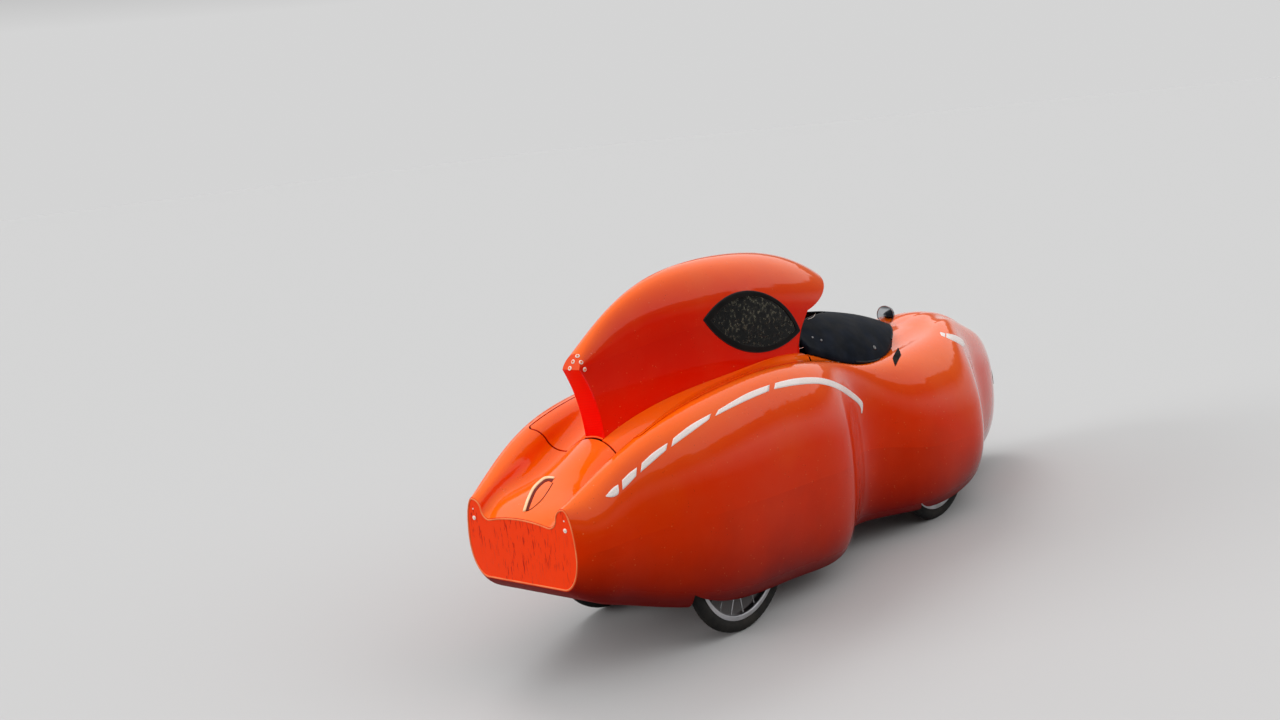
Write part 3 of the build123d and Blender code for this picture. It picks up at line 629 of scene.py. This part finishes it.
def makeTape(name, spec=tapeLook):
    # light grey reflective tape with a fine cell pattern
    material, tree, shader = newMaterial(name, {"Coat Weight": 0.3, "Coat Roughness": 0.15})
    inputs = {"Vector": objectPlace(tree), "Scale": spec["cells"]}
    cells = addNode(tree, "TexVoronoi", inputs, feature="DISTANCE_TO_EDGE")
    lines = remap(tree, cells.outputs["Distance"], 0.0, spec["line"], 1.0, 0.0)
    colour, film = marked(tree, mixColour(tree, lines, *spec["colours"]), dust, *spec["film"])
    feed(tree, shader, {"Base Color": colour, "Roughness": added(tree, film, spec["roughness"])})
    addBump(tree, shader, lines, *spec["bump"])
    return material


paint = {name: makeFinish(name) for name in finishes}
paint["gelcoat"] = makeGelcoat("gelcoat")
paint["hoodShadedGelcoat"] = makeGelcoat("hoodShadedGelcoat", hoodShadedGelcoat)
paint["fabric"] = makeFabric("seatFabric")
paint["tailSheet"] = makeTailSheet("tailSheet")
paint["window"] = makeGlass("windowPane", *glass["window"])
paint["lampGlass"] = makeGlass("lampGlass", *glass["lamp"])
paint["redLens"] = makeLensRed("redLens")
paint["tape"] = makeTape("reflectiveTape")
print("materials:", len(paint))

nodePaint = {
    "hull_shell": "gelcoat", "hood_lid": "hoodShadedGelcoat", "tail_plate": "tailSheet", "cockpit_cover": "foam",
    "window": "window", "hood_tail_lens": "redLens", "lid_hinge": "steel", "wheel_arch": "liner",
    "strut": "strut", "knuckle": "alloy", "lower_link": "steel", "swing_arm": "alloy", "damper": "strut",
    "wheel_front": "alloy", "wheel_rear": "alloy", "tyre": "rubber", "seat_shell": "laminate",
    "seat_cushion": "fabric", "headrest": "fabric", "mirror_housing": "blackPlastic",
    "mirror_glass": "chrome", "headlight_lens": "lampGlass", "headlight_bowl": "chrome",
}


def paintNodes():
    for name, item in nodes.items():
        for start, finish in nodePaint.items():
            if name.startswith(start):
                item.data.materials.clear()
                item.data.materials.append(paint[finish])


paintNodes()
print("frame pieces painted")


# Mesh helpers

def addPiece(name, verts, faces, material, body):
    mesh = bpy.data.meshes.new(name)
    mesh.from_pydata([tuple(v) for v in verts], [], faces)
    mesh.validate()
    tidy = bmesh.new()
    tidy.from_mesh(mesh)
    bmesh.ops.recalc_face_normals(tidy, faces=tidy.faces)
    tidy.to_mesh(mesh)
    tidy.free()
    mesh.materials.append(material)
    for face in mesh.polygons:
        face.use_smooth = True
    piece = bpy.data.objects.new(name, mesh)
    scene.collection.objects.link(piece)
    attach(piece, body)
    return piece


def addCurve(name, paths, radius, material, body, closed=False):
    data = bpy.data.curves.new(name, "CURVE")
    data.dimensions = "3D"
    data.bevel_depth = radius
    data.bevel_resolution = 3
    data.use_fill_caps = not closed
    for path in paths:
        spline = data.splines.new("POLY")
        spline.points.add(len(path) - 1)
        for point, place in zip(spline.points, path):
            point.co = (*place, 1)
        spline.use_cyclic_u = closed
        spline.use_smooth = True
    data.materials.append(material)
    piece = bpy.data.objects.new(name, data)
    scene.collection.objects.link(piece)
    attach(piece, body)
    return piece


def lathe(name, profile, places, material, body, steps=28):
    # one mesh: a profile of (radius, height) turned about each (centre, axis)
    verts, faces = [], []
    for centre, axis in places:
        turn = Vector(axis).to_track_quat("Z", "Y").to_matrix()
        first = len(verts)
        for radius, height in profile:
            for step in range(steps):
                angle = 2 * math.pi * step / steps
                spot = Vector((radius * math.cos(angle), radius * math.sin(angle), height))
                verts.append(Vector(centre) + turn @ spot)
        for row in range(len(profile) - 1):
            for step in range(steps):
                following = (step + 1) % steps
                a, b = first + row * steps, first + (row + 1) * steps
                faces.append((a + step, a + following, b + following, b + step))
    return addPiece(name, verts, faces, material, body)


def surfaceOf(*names):
    trees = []
    for name in names:
        mesh = nodes[name].data
        corners = [vert.co for vert in mesh.vertices]
        trees.append(BVHTree.FromPolygons(corners, [face.vertices[:] for face in mesh.polygons]))
    return trees


def castOn(trees, start, direction):
    best = None
    for tree in trees:
        place, normal, index, distance = tree.ray_cast(Vector(start), Vector(direction))
        if place is not None and (best is None or distance < best[2]):
            best = (place, normal if normal.dot(Vector(direction)) < 0 else -normal, distance)
    return best


def fromPhoto(trees):
    return lambda px, py: castOn(trees, *photoRay(px, py))


paneGap = 0.0008    # a ray that slips through the fine gap round a pane is moved by this


def fromSide(trees, side):
    def hit(y, z):
        for shift in (0, paneGap, -paneGap):
            found = castOn(trees, (side, y + shift, z + shift), (-side, 0, 0))
            if found and found[0].x * side > 0:
                return found
        return None

    return hit


def between(a, b, share):
    return tuple(p + (q - p) * share for p, q in zip(a, b))


def divided(line, parts):
    # points of a line through the given ones, rounded as a Catmull-Rom curve
    ends = [line[0], *line, line[-1]]
    points = []
    for i in range(1, len(ends) - 2):
        p, q, r, s = ends[i - 1:i + 3]
        for part in range(parts):
            t = part / parts
            points.append(tuple(
                0.5 * (2 * b + (c - a) * t + (2 * a - 5 * b + 4 * c - d) * t * t
                       + (3 * b - a - 3 * c + d) * t ** 3)
                for a, b, c, d in zip(p, q, r, s)))
    return points + [line[-1]]


def onSide(place, side):
    # the place itself for 1, and its mirror image for -1
    return Vector((side * place.x, place.y, place.z))


skin = {
    "rows": (0, 0.03, 0.25, 0.5, 0.75, 0.97, 1),    # shares of the way across a strip
    "parts": 6,         # of each run between two drawn points
    "press": 0.4,       # how deep the border goes into the surface, in lifts
}


def drape(name, hit, strips, material, body, lift, closed=False, copies=(1,), spec=skin):
    # skin between the two drawn lines of each strip, laid on what the hit function finds;
    # its border is pressed into the surface, and copies holds 1, and -1 for the other side
    width = len(spec["rows"])
    verts, faces = [], []
    for strip in strips:
        lower, upper = strip if closed else (divided(line, spec["parts"]) for line in strip)
        rows = list(zip(lower, upper))
        if not closed:
            rows = [rows[0], *rows, rows[-1]]
        places = []
        for index, (a, b) in enumerate(rows):
            for share in spec["rows"]:
                found = hit(*between(a, b, share))
                if found is None:
                    raise ValueError(f"{name}: nothing under {between(a, b, share)}")
                border = share in (0, 1) or (not closed and index in (0, len(rows) - 1))
                places.append(found[0] + found[1] * (-spec["press"] if border else 1) * lift)
        count = len(rows) if closed else len(rows) - 1
        for copy in copies:
            first = len(verts)
            verts += [onSide(place, copy) for place in places]
            for row in range(count):
                following = (row + 1) % len(rows)
                for k in range(width - 1):
                    a, b = first + row * width + k, first + following * width + k
                    faces.append((a, a + 1, b + 1, b))
    return addPiece(name, verts, faces, material, body)


def arcThrough(a, m, b, count):
    # points from a to b on the circle through a, m and b
    (ax, ay), (mx, my), (bx, by) = a, m, b
    d = 2 * (ax * (my - by) + mx * (by - ay) + bx * (ay - my))
    squares = [x * x + y * y for x, y in (a, m, b)]
    cx = (squares[0] * (my - by) + squares[1] * (by - ay) + squares[2] * (ay - my)) / d
    cy = (squares[0] * (bx - mx) + squares[1] * (ax - bx) + squares[2] * (mx - ax)) / d
    start, middle, end = (math.atan2(y - cy, x - cx) for x, y in (a, m, b))
    radius = math.hypot(ax - cx, ay - cy)
    sweep = (end - start) % (2 * math.pi)
    if (middle - start) % (2 * math.pi) > sweep:
        sweep -= 2 * math.pi
    angles = [start + sweep * k / count for k in range(count)]
    return [(cx + radius * math.cos(angle), cy + radius * math.sin(angle)) for angle in angles]


def edgeLoops(node, test):
    # lines along a frame piece's edges whose two faces pass a test, longest first
    form = bmesh.new()
    form.from_mesh(nodes[node].data)
    bmesh.ops.remove_doubles(form, verts=form.verts, dist=1e-6)
    form.normal_update()
    chosen = {edge for edge in form.edges if len(edge.link_faces) == 2 and test(edge)}
    lines = []
    for edge in list(form.edges):
        if edge not in chosen:
            continue
        chosen.remove(edge)
        line = [edge.verts[0], edge.verts[1]]
        going = True
        while going:
            following = [e for e in line[-1].link_edges if e in chosen]
            going = bool(following)
            if going:
                chosen.remove(following[0])
                line.append(following[0].other_vert(line[-1]))
        lines.append([vert.co.copy() for vert in line])
    form.free()

    def reach(line):
        return sum((b - a).length for a, b in zip(line, line[1:]))

    return sorted(lines, key=reach, reverse=True)


hullSkin = surfaceOf("hull_shell")
lidSkin = surfaceOf("hood_lid", "window_right", "window_left")


# Reflective tape along the shoulders and on the nose, in pixels of the photograph:
# lower and upper edge of each strip

tape = {
    "lift": 0.0009,
    "strips": {
        "A": ([(606.4, 496.9), (610.5, 497.3), (614.6, 496.6), (618.3, 494.2), (618.9, 490.5)],
              [(605.6, 496.1), (608.0, 493.2), (610.8, 489.9), (614.2, 486.8), (618.1, 484.5)]),
        "B": ([(622.6, 490.1), (629.3, 483.6), (636.0, 476.3)],
              [(622.0, 480.2), (629.3, 472.9), (636.8, 467.3)]),
        "C": ([(640.5, 472.5), (653.4, 461.3), (665.9, 450.5)],
              [(641.8, 463.0), (653.4, 452.4), (667.6, 442.8)]),
        "D": ([(671.3, 446.9), (689.5, 433.7), (708.9, 419.5)],
              [(673.2, 438.4), (690.4, 425.1), (711.1, 413.5)]),
        "E": ([(714.9, 416.3), (742.5, 402.5), (768.9, 391.0)],
              [(718.4, 409.9), (745.9, 393.8), (769.5, 384.7)]),
        "F": ([(774.0, 389.3), (791.8, 385.8), (810.2, 383.9), (824.0, 384.7), (837.8, 389.3), (849.2, 396.7),
               (857.3, 403.0), (860.6, 408.0), (861.2, 413.0)],
              [(775.2, 383.0), (791.8, 378.9), (810.2, 377.2), (826.3, 378.9), (841.2, 384.7), (853.8, 393.3),
               (861.9, 401.3), (862.8, 407.1), (861.9, 413.4)]),
        "noseRear": ([(939.9, 332.9), (941.6, 335.6), (944.9, 337.1)],
                     [(940.4, 332.2), (942.8, 332.7), (945.1, 333.3)]),
        "noseFront": ([(946.5, 337.7), (951.5, 340.0), (957.3, 342.9), (961.9, 345.8), (963.9, 347.0)],
                      [(946.3, 333.3), (952.3, 334.4), (957.3, 336.2), (962.3, 339.6), (964.6, 343.6)]),
    },
}

drape("tapeStrips", fromPhoto(hullSkin), tape["strips"].values(), paint["tape"], "vehicle", tape["lift"],
      copies=(1, -1))
print("tape laid")


# Black surround and gasket of the side windows, in side view as (y, z)

surround = {
    "outer": ((-0.617, 0.924), (-0.366, 0.971), (-0.180, 0.809), (-0.417, 0.783)),
    "inner": ((-0.584, 0.916), (-0.366, 0.957), (-0.199, 0.816), (-0.414, 0.803)),
    "lift": 0.0016,
    "bead": 0.0022,
    "steps": 60,
}


def windowSurround(name, side, spec=surround):
    lines = []
    for rear, top, front, bottom in (spec["outer"], spec["inner"]):
        above = arcThrough(rear, top, front, spec["steps"])
        lines.append(above + arcThrough(front, bottom, rear, spec["steps"]))
    hit = fromSide(lidSkin, side)
    drape(f"windowSurround_{name}", hit, [lines], paint["blackPlastic"], "lid", spec["lift"], closed=True)
    bead = [hit(*point)[0] for point in lines[0]]
    addCurve(f"windowGasket_{name}", [bead], spec["bead"], paint["binding"], "lid", closed=True)


windowSurround("right", 1)
windowSurround("left", -1)
print("window surrounds done")


# Screws with cup washers, on the hood's tail, the tail plate and the hinges

screw = {
    "washer": [(0.0030, 0.0), (0.0068, 0.0), (0.0066, 0.0009), (0.0052, 0.0019), (0.0040, 0.0022),
               (0.0034, 0.0014)],
    "head": [(0.0034, 0.0006), (0.0034, 0.0022), (0.0030, 0.0030), (0.0020, 0.0034), (0.0016, 0.0033),
             (0.0015, 0.0010), (0.0001, 0.0009)],
    "rivet": [(0.0026, -0.0004), (0.0026, 0.0004), (0.0020, 0.0012), (0.0010, 0.0016), (0.0001, 0.0017)],
    "hood": [(577.5, 356.1), (573.2, 361.7), (581.1, 362.3), (569.9, 368.4), (584.6, 369.5)],
    "tail": [(-0.181, 0.487), (0.181, 0.487)],
    "rivetAbove": 0.027,
    "hinge": (-0.226, 0.763),
    "hingeAlong": (-0.646, -0.634, -0.406, -0.394),
}


def addScrews(spec=screw):
    places = [fromPhoto(lidSkin)(*pixel)[:2] for pixel in spec["hood"]]
    lathe("hoodWashers", spec["washer"], places, paint["washer"], "lid")
    lathe("hoodScrews", spec["head"], places, paint["edgeHighlightAndScrewHead"], "lid", steps=24)
    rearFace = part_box("tail_plate")[0][1]
    places = [((x, rearFace, z), (0, -1, 0)) for x, z in spec["tail"]]
    lathe("tailWashers", spec["washer"], places, paint["washer"], "vehicle")
    lathe("tailScrews", spec["head"], places, paint["washer"], "vehicle", steps=24)
    places = [((x, rearFace, z + spec["rivetAbove"]), (0, -1, 0)) for x, z in spec["tail"]]
    lathe("tailRivets", spec["rivet"], places, paint["washer"], "vehicle", steps=20)
    x, z = spec["hinge"]
    places = [((x, y, z), (0, 0, 1)) for y in spec["hingeAlong"]]
    lathe("hingeScrews", spec["rivet"], places, paint["steel"], "lid", steps=20)


addScrews()
print("screws placed")


# Pale rim round the tail plate: a painted highlight along its edge

tailEdge = {
    "radius": 0.0022,
    "rear": -1.4015,    # the plate's rear face lies behind this
    "flat": 0.99,       # faces rearwards
    "aside": 0.9,       # faces aside, up or down
}


def addTailRim(spec=tailEdge):
    def rearEdge(edge):
        turned = sorted(abs(face.normal.y) for face in edge.link_faces)
        behind = all(vert.co.y < spec["rear"] for vert in edge.verts)
        return turned[0] < spec["aside"] and turned[1] > spec["flat"] and behind

    outline = edgeLoops("tail_plate", rearEdge)[0][:-1]
    addCurve("tailRimHighlight", [outline], spec["radius"], paint["edgeHighlightAndScrewHead"], "vehicle", closed=True)


addTailRim()


# Grip moulded into the middle of the tail deck, in pixels of the photograph

# the lip is painted cream as a highlight; a strip of painted shade lies inside it and a line of painted shade
# along its right edge
grip = {
    "lipOuter": [(523.1, 511.9), (527.2, 499.5), (533.0, 487.9), (540.5, 480.4), (546.3, 477.1),
                 (555.0, 477.6)],
    "lipInner": [(525.6, 511.5), (529.3, 500.4), (534.7, 489.1), (541.7, 481.9), (547.1, 478.8),
                 (553.9, 478.7)],
    "shadeInner": [(528.4, 510.8), (531.6, 501.6), (536.6, 490.8), (543.2, 483.8), (548.4, 481.2),
                   (551.6, 482.6)],
    "right": [(552.9, 482.9), (547.9, 491.2), (541.3, 500.3), (533.0, 507.8), (527.6, 511.0)],
    "lip": 0.0036,
    "shade": 0.0010,
    "groove": 0.0014,
}


def addGrip(spec=grip):
    hit = fromPhoto(hullSkin)
    # painted highlight on the lip, painted shade inside it and in the groove
    drape("gripLipHighlight", hit, [(spec["lipOuter"], spec["lipInner"])], paint["lipHighlightCream"], "vehicle", spec["lip"])
    drape("gripShade", hit, [(spec["lipInner"], spec["shadeInner"])], paint["shadeRed"], "vehicle", spec["shade"])
    line = [hit(*pixel)[0] for pixel in divided(spec["right"], 8)]
    addCurve("gripGrooveShade", [line], spec["groove"], paint["shadeRed"], "vehicle")


addGrip()


# Sill under the hood's red strip, in pixels of the photograph

sill = {
    "line": [(584.6, 436.6), (589.0, 436.0), (594.0, 435.8), (599.0, 436.6), (603.2, 438.2)],
    "radius": 0.0042,
}


def addSill(spec=sill):
    hit = fromPhoto(surfaceOf("hood_lid", "hood_tail_lens"))
    places = [hit(*pixel)[0] for pixel in divided(spec["line"], 4)]
    line = [place - Vector((0, 0, spec["radius"])) for place in places]
    addCurve("lensSill", [line], spec["radius"], paint["hoodShadedGelcoat"], "lid")


addSill()
print("tail details done")


# Slots in the shoulders, in pixels of the photograph

# the slots are not cut: each mouth is a near-black sheet of painted shadow, with a dark red line of painted
# shade round it
slot = {
    "left": [(895.0, 366.0), (892.7, 358.0), (895.4, 352.6), (898.0, 348.0)],
    "right": [(895.4, 366.0), (898.2, 360.2), (901.0, 355.0), (898.4, 348.0)],
    "lift": 0.0006,
    "rim": 0.0011,
}


def addSlots(spec=slot):
    hit = fromPhoto(hullSkin)
    drape("slotMouthShadows", hit, [(spec["left"], spec["right"])], paint["shadowBlack"], "vehicle", spec["lift"],
          copies=(1, -1))
    corners = spec["left"] + spec["right"][::-1]
    line = [hit(*pixel)[0] for pixel in corners]
    lines = [[onSide(place, side) for place in line] for side in (1, -1)]
    addCurve("slotRimShades", lines, spec["rim"], paint["shadeRed"], "vehicle", closed=True)


addSlots()


# Rubber edging round the hood's brim, in side view as (y, z)

brim = {
    "upper": ((0.090, 0.981), (-0.045, 0.891), (-0.125, 0.868)),
    "lower": ((-0.125, 0.868), (-0.176, 0.800), (-0.194, 0.752)),
    "steps": 26,
    "radius": 0.0020,
}


def addBrim(spec=brim):
    line = arcThrough(*spec["upper"], spec["steps"]) + arcThrough(*spec["lower"], spec["steps"])
    halves = []
    for side in (1, -1):
        hit = fromSide(lidSkin, side)
        halves.append([found[0] for found in (hit(*point) for point in line) if found])
    addCurve("brimEdging", [halves[0][::-1] + halves[1]], spec["radius"], paint["binding"], "lid")


addBrim()


# Foam cockpit cover: rounded edges, a black band of painted shade under its upper rim, button, snaps and a
# pale line of painted highlight along its neck opening

cover = {
    "voxel": 0.004,
    "rounds": 9,
    # radius of the black band of painted shade under the upper rim
    "binding": 0.0030,
    "upright": 0.25,        # its flanks face up or down less than this
    "shortest": 12,         # "shortest": 12, # points of a line worth a band of painted shade
    "button": (874.5, 347.4),
    "snaps": [(812.4, 337.4), (821.2, 340.2)],
    "buttonForm": [(0.0075, -0.001), (0.0075, 0.0012), (0.0060, 0.0024), (0.0036, 0.0022), (0.0030, 0.0012),
                   (0.0001, 0.0012)],
    "snapForm": [(0.0044, -0.001), (0.0044, 0.0010), (0.0034, 0.0022), (0.0016, 0.0028), (0.0001, 0.0029)],
    # points of the pale line of painted highlight along the neck opening
    "neckHighlight": [(815.4, 312.6), (814.8, 315.0), (812.4, 317.8), (807.8, 319.6)],
    "neckHighlightRadius": 0.0010,
}


def settle(piece):
    # keeps what the piece's modifiers make of it
    graph = bpy.context.evaluated_depsgraph_get()
    made = bpy.data.meshes.new_from_object(piece.evaluated_get(graph))
    piece.modifiers.clear()
    piece.data = made


def evenCopy(node, name, voxel):
    # a frame piece again, as an even mesh of small squares
    mesh = nodes[node].data.copy()
    form = bmesh.new()
    form.from_mesh(mesh)
    bmesh.ops.remove_doubles(form, verts=form.verts, dist=1e-6)
    form.to_mesh(mesh)
    form.free()
    piece = bpy.data.objects.new(name, mesh)
    scene.collection.objects.link(piece)
    even = piece.modifiers.new("even", "REMESH")
    even.mode = "VOXEL"
    even.voxel_size = voxel
    settle(piece)
    return piece


def finishSoft(piece, material, rounds, levels=0):
    smooth = piece.modifiers.new("smooth", "SMOOTH")
    smooth.factor = 0.5
    smooth.iterations = rounds
    if levels:
        finer = piece.modifiers.new("finer", "SUBSURF")
        finer.levels = levels
        finer.render_levels = levels
    settle(piece)
    piece.data.materials.clear()
    piece.data.materials.append(material)
    for face in piece.data.polygons:
        face.use_smooth = True


def addCover(spec=cover):
    piece = evenCopy("cockpit_cover", "foamCover", spec["voxel"])
    finishSoft(piece, paint["foam"], spec["rounds"])
    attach(piece, "vehicle")
    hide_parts("cockpit_cover")

    def upperRim(edge):
        rises = sorted(face.normal.z for face in edge.link_faces)
        return abs(rises[0]) < spec["upright"] < rises[1]

    # a black band under the upper rim: painted shade of the cover's side face
    lines = [line for line in edgeLoops("cockpit_cover", upperRim) if len(line) > spec["shortest"]]
    lines = [[Vector((place.x, place.y, place.z - spec["binding"])) for place in line] for line in lines]
    addCurve("coverEdgeShade", lines, spec["binding"], paint["binding"], "vehicle")
    hit = fromPhoto(surfaceOf("cockpit_cover"))

    def onBothSides(pixels):
        places = []
        for place, normal, distance in (hit(*pixel) for pixel in pixels):
            places += [(onSide(place, side), onSide(normal, side)) for side in (1, -1)]
        return places

    lathe("coverButtons", spec["buttonForm"], onBothSides([spec["button"]]), paint["steel"], "vehicle")
    lathe("coverSnaps", spec["snapForm"], onBothSides(spec["snaps"]), paint["steel"], "vehicle", steps=16)
    # a pale line along the neck opening's edge: painted highlight
    line = divided(spec["neckHighlight"], 4)
    neckHighlight = [found[0] + found[1] * spec["neckHighlightRadius"] for found in (hit(*pixel) for pixel in line) if found]
    addCurve("coverNeckHighlight", [neckHighlight], spec["neckHighlightRadius"], paint["washer"], "vehicle")


addCover()
print("cover done")


# Seat cushion with sewn channels, and headrest

padding = {
    "voxel": 0.006,
    "inset": 0.004,
    "quality": 4,
    "mass": 0.3,
    "pressure": 4.0,
    "frames": 20,
    "cap": 0.007,
    "line": [(0.056, 0.222), (-0.178, 0.168), (-0.305, 0.223), (-0.544, 0.632)],
    "pitch": 0.075,
    "channel": 0.0035,
    "channelWidth": 0.007,
}


def inflate(piece, spec=padding):
    piece.data.update()
    for vert in piece.data.vertices:
        vert.co -= vert.normal * spec["inset"]
    start = [vert.co.copy() for vert in piece.data.vertices]
    cloth = piece.modifiers.new("cloth", "CLOTH")
    cloth.settings.quality = spec["quality"]
    cloth.settings.mass = spec["mass"]
    cloth.settings.use_pressure = True
    cloth.settings.uniform_pressure_force = spec["pressure"]
    cloth.settings.effector_weights.gravity = 0
    cloth.collision_settings.use_self_collision = False
    for number in range(1, spec["frames"] + 1):
        scene.frame_set(number)
    settle(piece)
    scene.frame_set(1)
    for vert, was in zip(piece.data.vertices, start):
        moved = vert.co - was
        if moved.length > spec["cap"]:
            vert.co = was + moved * (spec["cap"] / moved.length)


def alongSeat(y, z, line):
    # how far along the seat's line its nearest point lies
    best, passed = None, 0.0
    for a, b in zip(line, line[1:]):
        start, run = Vector(a), Vector(b) - Vector(a)
        share = min(max((Vector((y, z)) - start).dot(run) / run.length_squared, 0), 1)
        away = (Vector((y, z)) - start - run * share).length
        if best is None or away < best[0]:
            best = (away, passed + share * run.length)
        passed += run.length
    return best[1]


def sewChannels(piece, spec=padding):
    piece.data.update()
    pushes = []
    for vert in piece.data.vertices:
        fromSeam = (alongSeat(vert.co.y, vert.co.z, spec["line"]) + spec["pitch"] / 2) % spec["pitch"]
        fromSeam = min(fromSeam, spec["pitch"] - fromSeam)
        pushes.append(spec["channel"] * math.exp(-(fromSeam / spec["channelWidth"]) ** 2))
    normals = [vert.normal.copy() for vert in piece.data.vertices]
    for vert, normal, push in zip(piece.data.vertices, normals, pushes):
        vert.co -= normal * push


def addPadding(spec=padding):
    for node, name, fill in (("seat_cushion", "seatPad", 0.6), ("headrest", "headPad", 0.75)):
        piece = evenCopy(node, name, spec["voxel"])
        inflate(piece)
        finishSoft(piece, paint["fabric"], 2, levels=1)
        if node == "seat_cushion":
            sewChannels(piece)
        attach(piece, "vehicle")
        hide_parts(node)
        print(name, "done")


addPadding()


# Tyres with tread, spoke nipples, valves and hub bolts

wheelFit = {
    "tyre": [(0.0134, 0.2064), (0.0156, 0.2085), (0.0176, 0.2125), (0.0192, 0.2175), (0.0200, 0.2222),
             (0.0190, 0.2270), (0.0170, 0.2318), (0.0142, 0.2362), (0.0116, 0.2392), (0.0094, 0.2412),
             (0.0087, 0.2398), (0.0079, 0.2417), (0.0054, 0.2427), (0.0047, 0.2414), (0.0039, 0.2428),
             (0.0, 0.2430)],    # (from the middle, radius)
    "steps": 288,
    "notchEvery": 4,
    "notch": 0.0014,
    "notched": (0.2310, 0.2413),
    "rim": 0.190,
    "spokes": 20,
    "nipple": [(0.0030, -0.001), (0.0030, 0.002), (0.0022, 0.003), (0.0022, 0.011), (0.0016, 0.012),
               (0.0001, 0.012)],
    "valve": [(0.0040, -0.001), (0.0040, 0.003), (0.0030, 0.004), (0.0030, 0.026), (0.0038, 0.027),
              (0.0038, 0.034), (0.0001, 0.035)],
    "bolt": [(0.0045, -0.001), (0.0045, 0.003), (0.0030, 0.0035), (0.0026, 0.0015), (0.0001, 0.0015)],
    "bolts": (0.030, 5, 0.014),    # radius, count, from the middle
}


def addTyre(node, centre, body, spec=wheelFit):
    half = spec["tyre"]
    section = half + [(-x, radius) for x, radius in half[-2::-1]]
    verts, faces = [], []
    count = len(section)
    for step in range(spec["steps"]):
        angle = 2 * math.pi * step / spec["steps"]
        for x, radius in section:
            low, high = spec["notched"]
            if low < radius < high and step % spec["notchEvery"] == 0:
                radius -= spec["notch"]
            verts.append(centre + Vector((x, -math.sin(angle) * radius, math.cos(angle) * radius)))
    for step in range(spec["steps"]):
        a, b = step * count, (step + 1) % spec["steps"] * count
        for k in range(count):
            following = (k + 1) % count
            faces.append((a + k, b + k, b + following, a + following))
    piece = addPiece(f"{node}_tread", verts, faces, paint["rubber"], body)
    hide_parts(node)


def addWheelFittings(end, side, spec=wheelFit):
    low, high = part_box(f"tyre_{end}_{side}")
    centre = (Vector(low) + Vector(high)) / 2
    body = f"{end}_wheel_{side}"
    outward = Vector((1 if centre.x > 0 else -1, 0, 0))
    addTyre(f"tyre_{end}_{side}", centre, body)

    def spoke(degrees):
        angle = math.radians(degrees)
        return Vector((0, -math.sin(angle), math.cos(angle)))

    pitch = 360 / spec["spokes"]
    places = [(centre + spoke(pitch * k) * spec["rim"], -spoke(pitch * k)) for k in range(spec["spokes"])]
    lathe(f"nipples_{end}_{side}", spec["nipple"], places, paint["steel"], body, steps=12)
    places = [(centre + spoke(pitch / 2) * spec["rim"], -spoke(pitch / 2))]
    lathe(f"valve_{end}_{side}", spec["valve"], places, paint["binding"], body, steps=16)
    radius, count, reach = spec["bolts"]
    places = [(centre + spoke(360 * k / count) * radius + outward * reach, outward) for k in range(count)]
    lathe(f"hubBolts_{end}_{side}", spec["bolt"], places, paint["steel"], body, steps=6)


for end in ("front", "rear"):
    for side in ("left", "right"):
        addWheelFittings(end, side)
print("wheels done")


# Springs of the dampers and boots of the struts

springs = {
    "centre": (0.219, -0.720),
    "from": 0.314,
    "to": 0.440,
    "turns": 7,
    "steps": 20,        # of each turn
    "radius": 0.0155,
    "wire": 0.0018,
    "boot": [(0.0150, 0.0), (0.0185, 0.003), (0.0158, 0.006), (0.0185, 0.009), (0.0158, 0.012),
             (0.0185, 0.015), (0.0150, 0.018)],
    "strut": (0.222, 0.430, 0.322),
}


def addSprings(spec=springs):
    x, y = spec["centre"]
    steps = spec["turns"] * spec["steps"]
    lines = []
    for side in (1, -1):
        line = []
        for step in range(steps + 1):
            angle = 2 * math.pi * step / spec["steps"]
            dx, dy = spec["radius"] * math.cos(angle), spec["radius"] * math.sin(angle)
            rise = spec["from"] + (spec["to"] - spec["from"]) * step / steps
            line.append((side * x + dx, y + dy, rise))
        lines.append(line)
    addCurve("damperSprings", lines, spec["wire"], paint["steel"], "vehicle")
    x, y, z = spec["strut"]
    lathe("strutBoots", spec["boot"], [((side * x, y, z), (0, 0, 1)) for side in (1, -1)], paint["rubber"],
          "vehicle")


addSprings()


# Head lamps and mirror: bezels, reflectors and light sources

lamps = {
    "place": (0.060, 0.325),
    "bezel": 0.0284,
    "bezelRadius": 0.0018,
    "back": 1.1935,
    "ahead": 2,         # rays start here, in front of the nose
    "reflector": [(0.0110, 0.0), (0.0150, 0.010), (0.0200, 0.024), (0.0250, 0.044), (0.0272, 0.058)],
    "source": [(0.0090, 0.0), (0.0090, 0.003), (0.0070, 0.006), (0.0040, 0.0078), (0.0001, 0.0084)],
    "mirrorRim": (0.0362, 0.6288, 0.717),
    "rimRadius": 0.0015,
}


def circle(radius, steps=48):
    angles = [2 * math.pi * step / steps for step in range(steps)]
    return [(radius * math.cos(angle), radius * math.sin(angle)) for angle in angles]


def addLamps(spec=lamps):
    x, z = spec["place"]
    nose = surfaceOf("hull_shell", "headlight_lens_left", "headlight_lens_right")
    bezels, backs = [], []
    for side in (1, -1):
        starts = [(side * x + dx, spec["ahead"], z + dz) for dx, dz in circle(spec["bezel"])]
        ring = [castOn(nose, start, (0, -1, 0)) for start in starts]
        bezels.append([found[0] for found in ring if found])
        backs.append(((side * x, spec["back"], z), (0, 1, 0)))
    addCurve("lampBezels", bezels, spec["bezelRadius"], paint["binding"], "vehicle", closed=True)
    lathe("lampReflectors", spec["reflector"], backs, paint["chrome"], "vehicle", steps=40)
    lathe("lampSources", spec["source"], backs, paint["phosphor"], "vehicle")
    radius, y, height = spec["mirrorRim"]
    rim = [(dx, y, height + dz) for dx, dz in circle(radius)]
    addCurve("mirrorRim", [rim], spec["rimRadius"], paint["chrome"], "vehicle", closed=True)


addLamps()
print("lamps and mirror done")
